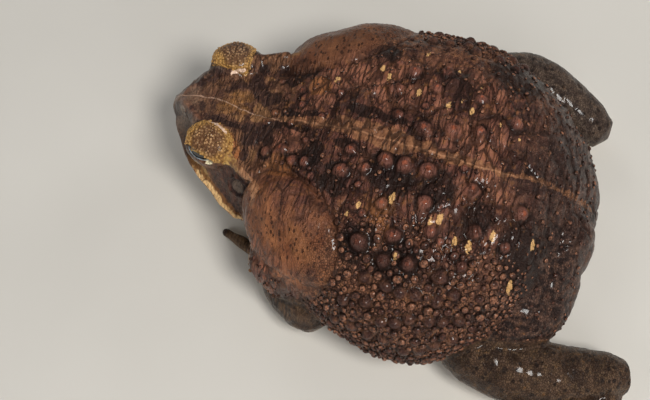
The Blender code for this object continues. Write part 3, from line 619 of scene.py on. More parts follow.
# %% Places of the large warts
WART_SIZES = {"great": (5.1, 3.4), "large": (4.4, 2.8), "middle": (3.5, 2.1), "small": (2.3, 1.2)}
BACK_WARTS = {
    "great": [(14, 122), (14.5, 132), (14, 143.5), (56, 119.5), (-7, 136), (-11, 150), (18, 166)],
    "large": [
        (25, 102), (61, 133), (59, 145), (49, 135), (61, 161), (-51, 108), (-14, 163),
        (22, 192), (37, 172), (-27, 118), (-40, 124), (-46, 140), (-25, 180), (30, 146),
    ],
    "middle": [
        (13, 104), (21, 113), (36, 126), (42, 152), (54, 170), (-33, 137), (-34, 160), (-12, 122), (40, 188),
        (21.5, 60.5), (18.9, 68.3), (24.5, 75.4), (24.5, 82.5),
    ],
    "small": [
        (5, 55.6), (-6.6, 72.2), (-15.5, 70.1), (-0.7, 58.5), (-25.4, 63.2), (4.6, 69), 
        (12.6, 79), (-11, 63), (-21, 57), (-2, 84), (31, 88), (-26, 95),
        (0, 112), (-18, 90), (30, 112), (43, 118), (-44, 115), (-20, 134), (-22, 146), (46, 157), (7, 160),
    ],
}
FLANK_ROWS = [(63, 122, 176, 6, "middle"), (73, 116, 182, 8, "middle"), (83, 112, 180, 8, "middle")]
ROW_SCATTER = 2.2
scatter = random.Random(11)


def wart_rays():
    """Start, way and size of a look at the skin for every large wart."""
    rays = []
    for size, found in BACK_WARTS.items():
        rays += [(beside_spine(x, s, 200), Vector((0, 0, -1)), size) for x, s in found]
    for side in (1, -1):
        for turn, first, last, count, size in FLANK_ROWS:
            for i in range(count):
                s = first + (last - first) * (i + 0.5) / count + scatter.uniform(-1, 1) * ROW_SCATTER
                angle = math.radians(turn + scatter.uniform(-1, 1) * ROW_SCATTER)
                way = Vector((side * math.sin(angle), 0, math.cos(angle)))
                rays.append((beside_spine(0, s, 44) + way * 0.3, -way, size))
    return rays


def surface_of(target):
    bm = bmesh.new()
    bm.from_mesh(target.data)
    tree = BVHTree.FromBMesh(bm)
    bm.free()
    return tree


surface = surface_of(skin)
large_warts = []
for start, way, size in wart_rays():
    place, normal, _, _ = surface.ray_cast(start, way)
    radius, height = WART_SIZES[size]
    if gland_reach(np.array([place]))[0] < 1.0 + radius / 30:
        continue
    if all((place - other).length > (reach + radius * 0.75) * MM for other, _, reach, _ in large_warts):
        large_warts.append((place, normal, radius, height))
print("large warts:", len(large_warts))


# %% [markdown]
# ## Relief of the skin
# Every point of the skin moves in or out along its normal by the sum of the forms there: domes of the large
# warts, the groove of the mouth, the ring of the eardrum, the edge of the gland, soft lumps from noise, and
# furrows. A toad's loose skin creases round the body, so the cells between furrows are longest that way.

# %% Move the skin
def mouth_level(s):
    return np.interp(s, [row[0] for row in MOUTH_LINE], [row[1] for row in MOUTH_LINE])


def furrows(points):
    """How deep in a furrow each point lies, from 0 to 1, for wide and for narrow furrows."""
    bend = np.stack([lattice_noise(points, 9, 31 + axis) for axis in range(3)], axis=1)
    bent = points + 1.8 * MM * bend
    wide = 1 - smooth_step(wall_distance(bent, (24, 8.5, 24), 3), 0.02, 0.14)
    narrow = 1 - smooth_step(wall_distance(bent, (12, 3.6, 12), 7), 0.04, 0.26)
    return wide, narrow


def relief(points, normals):
    """How far each point moves out, in millimetres, and how deep in a furrow it lies, which later sets the painted
    shade of furrows.
    """
    s, x, z = toad_measures(points)
    gland = gland_reach(points)
    limb, _ = reach_of_paths(points, limb_paths + digit_lines)
    on_limb = 1 - smooth_step(limb, 1.08, 1.3)
    on_gland = 1 - smooth_step(gland, 0.93, 1.0)
    above = smooth_step(z, 8, 26)
    on_trunk = smooth_step(s, 56, 68) * (1 - on_gland) * (1 - on_limb) * above
    turn = trunk_turn(x, z)
    flank = smooth_step(turn, 42, 66) * (1 - smooth_step(turn, 105, 125)) * smooth_step(s, 86, 108)
    neck = ridge(s, 58, 13) * above * (1 - on_gland) * (1 - on_limb)
    wide, narrow = furrows(points)
    furrow = on_trunk * (wide * (1 - 0.55 * flank) + 0.5 * narrow * (1 - 0.7 * flank))
    furrow = np.maximum(furrow, neck * np.maximum(0.8 * wide, 0.75 * narrow))
    furrow = np.maximum(furrow, 0.25 * on_gland * narrow)
    furrow = np.maximum(furrow, 0.35 * on_limb * wide * above)
    # The left gland stands up steeply from a crease along its inner edge, darkened later with painted shade
    inner = smooth_step(x, 14, 22) * (1 - smooth_step(x, 48, 64)) * smooth_step(z, 50, 60)
    edge = gland + 0.025 * lattice_noise(points, 6, 41)
    furrow = np.maximum(furrow, 0.9 * ridge(edge, 1.0, 0.028) * inner)
    lift = on_trunk * (1.3 * lattice_noise(points, 14, 1) + 0.65 * lattice_noise(points, 6, 2))
    folds = points * np.array([0.35, 1, 0.6])
    lift += neck * (1.1 * lattice_noise(folds, 5.5, 9) + 0.5 * lattice_noise(folds, 2.8, 10))
    lift += on_gland * (1.1 * lattice_noise(points, 13, 4) + 0.45 * lattice_noise(points, 5, 5))
    lift += on_limb * 0.3 * lattice_noise(points, 7, 6)
    lift -= 0.85 * np.clip(furrow, 0, 1)
    lift -= 1.3 * ridge(gland, 1.0, 0.035) * smooth_step(z, 38, 50)
    lift += 2.8 * (1 - smooth_step(edge, 0.84, 0.98)) * inner
    # Mouth groove and swollen lips
    on_face = (1 - smooth_step(s, 60, 66)) * (1 - smooth_step(np.abs(normals[:, 2]), 0.75, 0.95))
    below = z - mouth_level(s)
    lift += on_face * (0.7 * ridge(below, 2.6, 1.5) + 0.35 * ridge(below, -2.2, 1.3) - 1.5 * ridge(below, 0, 0.75))
    face = (1 - smooth_step(s, 46, 58)) * above
    lift += face * (0.6 * lattice_noise(points, 8, 12) + 0.2 * lattice_noise(points, 3.4, 13))
    lore = ridge(s, 12, 8) * smooth_step(np.abs(x), 5, 11) * smooth_step(z, 46, 52)
    lift -= (1.3 + 2.4 * smooth_step(-x, 14, 18)) * lore * (1 - smooth_step(s, 11, 17))
    # The snout is blunt on its right side, and its right edge runs straight up to the lid
    lift += 2.0 * ridge(s, 13.5, 5) * ridge(x, -12, 4) * smooth_step(z, 50, 56)
    tip = (1 - smooth_step(s, 2, 8)) * smooth_step(z, 38, 46)
    lift += 1.4 * tip * (1 - smooth_step(np.abs(x + 1.0), 2.5, 6))
    lift -= 1.2 * smooth_step(x, 4, 8) * (1 - smooth_step(s, 8, 14)) * smooth_step(z, 20, 28)
    lift += 1.9 * snout_crest(points) * smooth_step(normals[:, 2], -0.1, 0.3)
    # A crease along the inner edge of each eyelid, and its raised rim
    lid = lid_reach(points)
    lift += 0.4 * ridge(lid, 0.9, 0.07) - 1.2 * ridge(lid, 1.07, 0.05)
    lift -= 1.3 * (1 - smooth_step(lid_disc(points), 0.1, 0.8))
    for side in (1, -1):
        drum = beside_spine(side * TYMPANUM["centre"][0], *TYMPANUM["centre"][1:])
        way = np.array([side * TYMPANUM["way"][0], TYMPANUM["way"][1], TYMPANUM["way"][2]])
        way = way / np.linalg.norm(way)
        off = points - np.array(drum)
        wide_off = np.linalg.norm(off - (off @ way)[:, None] * way, axis=1) / MM
        here = smooth_step(off @ way, -0.012, -0.006)
        rim = TYMPANUM["radius"]
        drum_form = 0.7 * ridge(wide_off, rim + 1.5, 0.9) - 1.0 * ridge(wide_off, rim + 0.2, 0.6)
        drum_form -= 0.4 * (1 - smooth_step(wide_off, rim - 0.8, rim))
        lift += here * drum_form
        nostril = beside_spine(side * NOSTRIL[0], *NOSTRIL[1:])
        off_nostril = np.linalg.norm((points - np.array(nostril)) / MM * NOSTRIL_REACH, axis=1)
        lift += 0.8 * ridge(off_nostril, 2.3, 0.7) - 2.6 * ridge(off_nostril, 0, 1.2)
    return lift, np.clip(furrow, 0, 1)


def wart_distance(points, place, normal, radius):
    """Distance across the skin from a wart's middle, with its uneven rim as 1."""
    off = points - np.array(place)
    off = off - (off @ np.array(normal))[:, None] * np.array(normal)
    uneven = 1 + 0.16 * lattice_noise(points, 3.2, 41)
    return np.linalg.norm(off, axis=1) / (radius * MM) * uneven


def tree_of(points):
    tree = KDTree(len(points))
    for i, point in enumerate(points):
        tree.insert(point, i)
    tree.balance()
    return tree


def add_domes(points, lift, warts):
    """Raises a dome over each wart, with a shallow crease round it."""
    tree = tree_of(points)
    for place, normal, radius, height in warts:
        found = np.array([i for _, i, _ in tree.find_range(place, radius * 1.8 * MM)])
        if not len(found):
            continue
        wide = wart_distance(points[found], place, normal, radius)
        dome = height * 1.05 * np.clip(1 - wide**2, 0, None) ** 1.15
        dome -= 0.35 * ridge(wide, 0, 0.13)
        crease_shade = -0.4 * ridge(wide, 1.12, 0.18)
        lift[found] = np.where(wide < 1, lift[found] * np.clip(wide, 0.25, 1) + dome, lift[found]) + crease_shade
    return lift


points, normals = read_points(skin), read_normals(skin)
lift, furrow = relief(points, normals)
lift = add_domes(points, lift, large_warts)
resting = points[:, 2] < 0.3 * MM
lift[resting] = 0
moved = points + normals * (lift * MM)[:, None]
moved[:, 2] = np.maximum(moved[:, 2], np.where(resting, points[:, 2], 0.2 * MM))
write_points(skin, moved)
moved_tree = tree_of(moved)
print("relief from", round(float(lift.min()), 2), "to", round(float(lift.max()), 2), "mm")

# %% [markdown]
# ## Fewer triangles
# A file of the skin should stay small, so a Decimate modifier takes away points where the skin is smooth,
# as under the belly, and keeps them round warts, lids and toes. The eyes are cut open after that, crisply.

# %% Thin out, then open the eyes
SKIN_TRIANGLES = 186000
fewer = skin.modifiers.new("fewer", "DECIMATE")
fewer.ratio = SKIN_TRIANGLES / (2 * len(skin.data.polygons))
apply_modifiers(skin)
for side in (1, -1):
    centre, outward, axes = eye_frame(side)
    across = axes.col[1]
    socket = ellipsoid("socket", centre, [EYE_RADIUS + 0.2] * 3)
    slit_place = centre + (outward * (EYE_RADIUS + SLIT["ahead"]) + across * SLIT["rise"]) * MM
    slit = ellipsoid("slit", slit_place, (SLIT["length"] / 2, SLIT["height"] / 2, EYE_RADIUS), axes)
    cut_away(skin, socket, slit)
skin.data.shade_smooth()
print("skin triangles:", sum(len(p.vertices) - 2 for p in skin.data.polygons))


# %% [markdown]
# ## Small warts by Geometry Nodes
# Between the large warts sit many hundreds of small ones, densest on the flanks. Copies by hand would be
# hopeless. Here a loop picks well spaced places, and a node tree sets one small dome on each, turned to
# the skin and spun at random, then makes them real and gives them their finish.

# %% A dome to repeat
def make_dome(name, sides=8, levels=((1.1, -0.4), (0.92, 0.3), (0.6, 0.82), (0.22, 1.0)), tip_level=0.9):
    bm = bmesh.new()
    rows = []
    for share, level in levels:
        angles = [2 * math.pi * k / sides for k in range(sides)]
        rows.append([bm.verts.new((math.cos(a) * share, math.sin(a) * share, level)) for a in angles])
    for low, high in zip(rows, rows[1:]):
        for i in range(sides):
            j = (i + 1) % sides
            bm.faces.new((low[i], low[j], high[j], high[i]))
    tip = bm.verts.new((0, 0, tip_level))
    for i in range(sides):
        bm.faces.new((rows[-1][i], rows[-1][(i + 1) % sides], tip))
    bm.faces.new(rows[0][::-1])
    shares = [max(level, 0) for _, level in levels for _ in range(sides)] + [1.2]
    for face in bm.faces:
        face.smooth = True
    dome = add_object(name, bm)
    height = dome.data.attributes.new("bead_height", "FLOAT", "POINT")
    height.data.foreach_set("value", shares)
    return dome


# %% The node tree that sets domes on skin
def bead_tree(name):
    tree = bpy.data.node_groups.new(name, "GeometryNodeTree")
    face = tree.interface
    face.new_socket("Places", in_out="INPUT", socket_type="NodeSocketGeometry")
    face.new_socket("Dome", in_out="INPUT", socket_type="NodeSocketObject")
    face.new_socket("Height share", in_out="INPUT", socket_type="NodeSocketFloat")
    face.new_socket("Spin seed", in_out="INPUT", socket_type="NodeSocketInt")
    face.new_socket("Finish", in_out="INPUT", socket_type="NodeSocketMaterial")
    face.new_socket("Beads", in_out="OUTPUT", socket_type="NodeSocketGeometry")
    node = tree.nodes.new
    link = tree.links.new
    given, result = node("NodeGroupInput"), node("NodeGroupOutput")
    radius = node("GeometryNodeInputNamedAttribute")
    radius.data_type = "FLOAT"
    radius.inputs["Name"].default_value = "bead_radius"
    way = node("GeometryNodeInputNamedAttribute")
    way.data_type = "FLOAT_VECTOR"
    way.inputs["Name"].default_value = "bead_way"
    align = node("FunctionNodeAlignRotationToVector")
    align.axis = "Z"
    link(way.outputs["Attribute"], align.inputs["Vector"])
    tall = node("ShaderNodeMath")
    tall.operation = "MULTIPLY"
    link(radius.outputs["Attribute"], tall.inputs[0])
    link(given.outputs["Height share"], tall.inputs[1])
    uneven = node("FunctionNodeRandomValue")
    uneven.data_type = "FLOAT"
    uneven.inputs[2].default_value = 0.82
    uneven.inputs[3].default_value = 1.25
    link(given.outputs["Spin seed"], uneven.inputs["Seed"])
    broad = node("ShaderNodeMath")
    broad.operation = "MULTIPLY"
    link(radius.outputs["Attribute"], broad.inputs[0])
    link(uneven.outputs[1], broad.inputs[1])
    size = node("ShaderNodeCombineXYZ")
    link(broad.outputs[0], size.inputs["X"])
    link(radius.outputs["Attribute"], size.inputs["Y"])
    link(tall.outputs[0], size.inputs["Z"])
    shape = node("GeometryNodeObjectInfo")
    link(given.outputs["Dome"], shape.inputs["Object"])
    copies = node("GeometryNodeInstanceOnPoints")
    link(given.outputs["Places"], copies.inputs["Points"])
    link(shape.outputs["Geometry"], copies.inputs["Instance"])
    link(align.outputs["Rotation"], copies.inputs["Rotation"])
    link(size.outputs["Vector"], copies.inputs["Scale"])
    spin = node("FunctionNodeRandomValue")
    spin.data_type = "FLOAT"
    spin.inputs[3].default_value = 2 * math.pi
    link(given.outputs["Spin seed"], spin.inputs["Seed"])
    turn = node("ShaderNodeCombineXYZ")
    link(spin.outputs[1], turn.inputs["Z"])
    turned = node("GeometryNodeRotateInstances")
    turned.inputs["Local Space"].default_value = True
    link(copies.outputs["Instances"], turned.inputs["Instances"])
    link(turn.outputs["Vector"], turned.inputs["Rotation"])
    real = node("GeometryNodeRealizeInstances")
    finish = node("GeometryNodeSetMaterial")
    link(turned.outputs["Instances"], real.inputs["Geometry"])
    link(real.outputs["Geometry"], finish.inputs["Geometry"])
    link(given.outputs["Finish"], finish.inputs["Material"])
    link(finish.outputs["Geometry"], result.inputs["Beads"])
    return tree


beads_on_skin = bead_tree("beads on skin")


def unwrap_beads(made, places, dome):
    """Gives each bead a small patch at its root's place on an unwrap of the body round its spine."""
    s, x, z = toad_measures(np.array([tuple(point) for point, _, _ in places]))
    roots = np.stack([np.arctan2(x, z - 44) / (2 * math.pi) + 0.5, 0.05 + 0.9 * s / SNOUT_VENT], axis=1)
    patch = read_points(dome)[:, :2] * 0.0013
    spots = (roots[:, None, :] + patch[None, :, :]).reshape(-1, 2)
    corners = np.empty(len(made.data.loops), np.int32)
    made.data.loops.foreach_get("vertex_index", corners)
    layer = made.data.uv_layers.new(name="OFBake")
    layer.data.foreach_set("uv", spots[corners].astype(np.float32).ravel())


def set_beads(name, places, dome, height_share, seed, finish):
    """A mesh of domes, one at each place, given as point, way and radius in millimetres."""
    mesh = bpy.data.meshes.new(name + "_places")
    mesh.from_pydata([tuple(point) for point, _, _ in places], [], [])
    radius = mesh.attributes.new("bead_radius", "FLOAT", "POINT")
    radius.data.foreach_set("value", [r * MM for _, _, r in places])
    way = mesh.attributes.new("bead_way", "FLOAT_VECTOR", "POINT")
    way.data.foreach_set("vector", np.array([tuple(w) for _, w, _ in places]).ravel())
    carrier = bpy.data.objects.new(name + "_carrier", mesh)
    bpy.context.scene.collection.objects.link(carrier)
    step = carrier.modifiers.new("beads", "NODES")
    step.node_group = beads_on_skin
    sockets = {item.name: item.identifier for item in beads_on_skin.interface.items_tree}
    step[sockets["Dome"]] = dome
    step[sockets["Height share"]] = height_share
    step[sockets["Spin seed"]] = seed
    step[sockets["Finish"]] = finish
    graph = bpy.context.evaluated_depsgraph_get()
    made = bpy.data.objects.new(name, bpy.data.meshes.new_from_object(carrier.evaluated_get(graph)))
    bpy.context.scene.collection.objects.link(made)
    discard(carrier)
    made.data.name = name
    unwrap_beads(made, places, dome)
    return made


print("tree nodes:", len(beads_on_skin.nodes))

# %% [markdown]
# ## Colours of the skin
# The back is wet chocolate brown with a pale line along the spine, and the glands are orange brown with dark
# pores. Painted images would be one way. Here named places and sizes give each point its share of every
# kind of skin as an attribute, and the shader adds what is finer than the mesh: pores, specks, and creases
# darkened with painted shade.

# %% Places of the markings
SPINE_LINE = [
    (0, 0), (15, -1.2), (30, -0.3), (53, 3), (74, 2.9), (98, 1.9), (127, 3.7), (152, 3.5), (177, 5),
    (198, 3.1), (218, 2.5), (236, 0),
]
TAN_BAND = [(60, 1.2), (72, 2.4), (93, 3.6), (104, 5.4), (130, 5.6), (138, 3.6), (152, 3), (172, 2.2), (185, 1.2), (236, 0.8)]
# Patches: x and s of the middle, reach in x and in s, and strength
DARK_PATCHES = [
    (-26, 45, 3.5, 3.5, 1), (-16, 43.5, 7, 4, 1), (-11, 47.5, 6, 5, 1), (-7.5, 52, 4.5, 5, 1), (-9.5, 57, 4, 3, 1),
    (-1.5, 66, 3, 4.5, 1), (0, 71.5, 2.5, 4, 1), (-28, 58.5, 5, 6, 1), (-23, 63, 5, 5, 0.9), (11, 30, 2.2, 7, 0.9),
    (12, 38.5, 2, 6, 0.9), (11.6, 47.5, 4.5, 5, 1), (14.8, 52.4, 6, 5, 1), (10.7, 57, 4.5, 5, 1), (17.4, 48.2, 4.5, 4, 1),
    (25, 49.3, 5, 2.8, 1), (15, 60, 4.5, 4, 0.9), (6, 62, 2.5, 6, 1), (5, 69, 2.5, 6, 1), (6.3, 76, 2.5, 6, 1),
    (22, 60, 5, 4.5, 0.8), (-9.3, 30, 5, 7, 0.5), (-12, 36, 4, 5, 0.6), (4.2, 18.4, 3.5, 4, 0.5), (-10.5, 19.3, 3, 5, 0.6),
    (-8, 14, 3, 4, 0.7), (-14, 21, 3, 5, 0.8), (7, 14, 2.5, 3, 0.6), (6, 20, 3, 2.5, 0.5), (2, 24, 2, 2, 0.5),
    (-3, 80, 2, 6, 0.9), (20, 85, 9, 7, 0.8), (-9, 106, 3.5, 12, 1), (-8, 118, 3, 10, 1), (10, 100, 3, 7, 1),
    (-51, 108, 7, 7, 1), (56, 119, 10, 10, 1), (20, 126, 13, 13, 0.8), (29, 100, 9, 8, 0.9), (-32, 70, 8, 10, 0.9),
    (60, 140, 12, 14, 0.8), (40, 196, 18, 13, 0.8), (-40, 150, 16, 14, 0.4), (22, 150, 14, 10, 0.8),
    (-58, 175, 16, 18, 0.8), (30, 172, 9, 9, 0.8),
]
OCHRE_PATCHES = [
    (-4, 37, 5, 6, 1), (-6, 42.5, 4, 4, 1), (0, 36, 5, 5, 1), (2, 42, 4, 5, 1), (-1, 59, 2.5, 2.5, 1),
    (3, 32, 6, 6, 0.8), (-20, 78, 9, 7, 0.8), (28, 70, 9, 8, 0.7), (40, 126, 10, 8, 0.8),
]
TAN_PATCHES = [
    (-0.7, 50.4, 5, 4.5, 1), (2, 54.5, 4, 4, 1), (5, 49.2, 3, 4, 0.9), (1.5, 64, 3, 4, 1), (-8, 66, 5, 4, 0.8), (7, 41, 4, 5, 0.6),
    (24, 53.5, 4, 3, 0.6), (30, 62, 5, 4, 0.5), (-16, 66, 4, 4, 0.5), (-21, 50, 1.2, 3, 0.8), (-15, 37, 1.2, 2.5, 0.8),
]
FLECKS = [
    (-26, 86, 1.6), (-38, 107.5, 1.4), (-33, 112, 1.5), (-28, 129, 1.9), (-24, 145, 1.6), (-29, 151, 1.0),
    (-26, 157, 1.5), (-43, 159, 0.9), (-21, 172, 0.9), (-17, 183, 0.8), (32, 130, 1.8), (40, 115, 1.4),
    (44.5, 110.6, 1.1), (35, 154.6, 2.0), (38, 150.5, 1.3), (44, 164, 1.6), (45, 171, 1.9), (37, 181, 1.7),
    (34, 201, 1.6), (55, 195, 1.8), (58, 138.5, 1.1), (-55, 128, 1.1), (-50, 146, 1.0),
]
ORANGE_PATCHES = [(22, 42, 3.5, 4.5, 1), (26, 46.5, 3.5, 3, 1), (24.5, 82.4, 4, 4.5, 1), (18, 40, 2, 2, 1)]
PALE_MARKS = [
    [((15.6, 28.3, 73.4), 1.3), ((16.2, 32.5, 74), 1.8), ((18.2, 36.5, 73.6), 1.2)],
    [((-15.8, 29.5, 73), 0.9), ((-17.2, 32.5, 73.6), 1.1), ((-19.6, 35.6, 73.4), 0.8)],
]
EAR_BAND = [
    ((29.5, 41, 68.5), 3.0), ((32.8, 47, 68), 2.8), ((35.4, 52, 69), 2.6), ((38.5, 57.5, 70), 2.6),
    ((41.5, 60.8, 72.3), 2.4), ((46, 61.4, 72.2), 1.9), ((50, 61.8, 71), 1.6),
]
UNDER_EYE = [
    [((27.5, 19, 46), 3.0), ((31.5, 24, 45.5), 3.6), ((34.5, 27.2, 44), 3.2), ((38, 31.5, 42), 2.0)],
    [((31.5, 23.5, 47), 3.2), ((33.2, 23.5, 54), 3.6), ((34.5, 24, 60), 2.6)],
]


def patches(x, s, table, wobble):
    share = np.zeros(len(x))
    for px, ps, rx, rs, strength in table:
        reach = np.hypot((x - px) / rx, (s - ps) / rs) + 0.25 * wobble
        share = np.maximum(share, strength * (1 - smooth_step(reach, 0.45, 1.35)))
    return share


def paint(target, **given):
    """Writes the share of every kind of skin to the points of a mesh, but those given as they are."""
    points, normals = read_points(target), read_normals(target)
    s, x, z = toad_measures(points)
    gland = gland_reach(points)
    limb, _ = reach_of_paths(points, limb_paths)
    digit, along = reach_of_paths(points, digit_lines)
    turn = trunk_turn(x, z)
    wobble = lattice_noise(points, 6, 21)
    low = mouth_level(s)
    upper = smooth_step(z, 40, 50)
    kinds = {}
    kinds["gland"] = 1 - smooth_step(gland + 0.05 * wobble, 0.86, 1.01)
    kinds["right_side"] = smooth_step(-x, 15, 40)
    kinds["limb"] = (1 - smooth_step(np.minimum(limb, digit), 1.12, 1.4)) * (1 - kinds["gland"])
    kinds["digit"] = 1 - smooth_step(digit, 1.15, 1.5)
    kinds["tip"] = kinds["digit"] * smooth_step(along, 0.88, 0.96)
    kinds["head"] = 1 - smooth_step(s + 4 * wobble, 52, 70)
    kinds["snout"] = 1 - smooth_step(s + 3 * wobble, 10, 24)
    kinds["belly"] = 1 - smooth_step(np.where(s < 66, z - low + 5, z - 12 + 5 * wobble), -3, 7)
    under = smooth_step(-normals[:, 2], 0.0, 0.6)
    kinds["belly"] = np.where(kinds["limb"] > 0.5, under, kinds["belly"])
    kinds["flank"] = smooth_step(turn + 4 * wobble, 38, 62) * (1 - kinds["head"]) * smooth_step(s, 84, 108)
    lid = lid_reach(points)
    kinds["lid"] = 1 - smooth_step(lid, 0.97, 1.03)
    kinds["crest"] = snout_crest(points) * upper
    crest_x = np.interp(s, [place[1] for place, _ in SNOUT_CREST], [place[0] for place, _ in SNOUT_CREST])
    kinds["lore"] = smooth_step(np.abs(x) - crest_x, -0.4, 1.4) * (1 - smooth_step(s, 21, 29)) * smooth_step(z, 42, 48)
    kinds["lid_middle"] = 1 - smooth_step(lid_disc(points) + 0.14 * wobble, 0.55, 0.8)
    kinds["cheek"] = np.zeros(len(points))
    kinds["corner"] = np.zeros(len(points))
    kinds["drum"] = np.full(len(points), 99.0)
    kinds["nostril"] = np.full(len(points), 99.0)
    for side in (1, -1):
        middle = beside_spine(side * 38.5, 45, 54)
        cheek = reach_of_ellipsoid(points, middle, (12, 16.5, 12.5), Matrix.Rotation(-side * 0.35, 3, "Z"))
        kinds["cheek"] = np.maximum(kinds["cheek"], 1 - smooth_step(cheek + 0.1 * wobble, 0.9, 1.0))
        drum = np.array(beside_spine(side * TYMPANUM["centre"][0], *TYMPANUM["centre"][1:]))
        wide = np.linalg.norm(points - drum, axis=1) / MM
        kinds["drum"] = np.minimum(kinds["drum"], wide)
        off = np.linalg.norm((points - np.array(beside_spine(side * NOSTRIL[0], *NOSTRIL[1:]))) / MM * NOSTRIL_REACH, axis=1)
        kinds["nostril"] = np.minimum(kinds["nostril"], off)
        centre, _, axes = eye_frame(side)
        local = (points - np.array(centre)) @ np.array(axes) / MM
        wedge = np.hypot((local[:, 0] - EYE_CORNER[0]) / 2.3, (local[:, 1] - EYE_CORNER[1]) / 1.15)
        kinds["corner"] = np.maximum(kinds["corner"], np.where(np.abs(local[:, 2] - 8) < 3.5, 1 - smooth_step(wedge, 0.8, 1.15), 0))
    kinds["cheek"] *= smooth_step(z - low, 5.0, 7.0) * (1 - kinds["lid"])
    lip_form = ridge(z - low + 0.6 * wobble, 3.4, 2.1)
    kinds["lip"] = lip_form * (1 - smooth_step(s, 62, 70)) * smooth_step(s, 10, 24)
    kinds["mouth"] = ridge(z - low, 0.0, 0.7) * (1 - smooth_step(s, 61, 66))
    for name, paths in (("ear_band", [EAR_BAND, mirrored(EAR_BAND, -1)]), ("pale_mark", PALE_MARKS), ("under_eye", UNDER_EYE)):
        placed = [[(beside_spine(*place), r) for place, r in path] for path in paths]
        kinds[name] = 1 - smooth_step(reach_of_paths(points, placed)[0] + 0.3 * wobble, 0.8, 1.3)
    kinds["to_lid"] = smooth_step(s, 51, 44)
    kinds["orange"] = patches(x, s, ORANGE_PATCHES, wobble) * upper
    line_x = np.interp(s, [row[0] for row in SPINE_LINE], [row[1] for row in SPINE_LINE])
    off_line = x - line_x + 0.9 * lattice_noise(points, 8, 22) + 0.6 * lattice_noise(points, 3, 23)
    kinds["line_mm"] = np.where(upper > 0.5, off_line, 99)
    half = np.interp(s, [row[0] for row in TAN_BAND], [row[1] for row in TAN_BAND])
    band = np.abs(x - line_x + 0.5 + 1.8 * wobble) / half
    kinds["band"] = (1 - smooth_step(band, 0.8, 1.15)) * smooth_step(s, 55, 75) * upper
    kinds["rear"] = smooth_step(s + 8 * wobble, 172, 205) * (1 - kinds["limb"])
    kinds["dark"] = patches(x, s, DARK_PATCHES, wobble) * upper
    kinds["ochre"] = patches(x, s, OCHRE_PATCHES, wobble) * upper
    kinds["tan"] = patches(x, s, TAN_PATCHES, wobble) * upper
    fleck = np.full(len(points), 99.0)
    for px, ps, r in FLECKS:
        fleck = np.minimum(fleck, np.hypot((x - px) * 0.62, (s - ps) * 1.25) - r)
    kinds["fleck_mm"] = np.where(upper > 0.3, fleck, 99)
    wart = np.full(len(points), 9.0)
    for place, normal, radius, _ in large_warts:
        near = np.nonzero(np.abs(points - np.array(place)).max(axis=1) < radius * 2.0 * MM)[0]
        wart[near] = np.minimum(wart[near], wart_distance(points[near], place, normal, radius))
    kinds["wart"] = wart
    nearest = [moved_tree.find(point)[1] for point in points]
    kinds["furrow"] = furrow[nearest]
    if "bead_height" not in target.data.attributes:
        kinds["bead_height"] = np.zeros(len(points))
    for name, value in given.items():
        kinds[name] = np.full(len(points), value)
    for name, values in kinds.items():
        held = target.data.attributes.get(name) or target.data.attributes.new(name, "FLOAT", "POINT")
        held.data.foreach_set("value", values.astype(np.float32))
    return kinds


shares = paint(skin)
print("shares of the skin:", {name: round(float(v.mean()), 3) for name, v in shares.items() if v.max() < 2})


# %% [markdown]
# ## The finish of wet skin
# One material serves all the skin, so that no seam shows. It mixes the kinds in turn, from the widest to the
# smallest, then adds bumps. A thin clear coat over a rougher skin gives the small sharp lights of water.

# %% Helpers for shader nodes
def linear(red, green, blue):
    """A colour as seen, 0 to 255, as the light values a shader needs."""
    return tuple((c / 255 / 12.92 if c / 255 <= 0.04045 else ((c / 255 + 0.055) / 1.055) ** 2.4) for c in (red, green, blue))


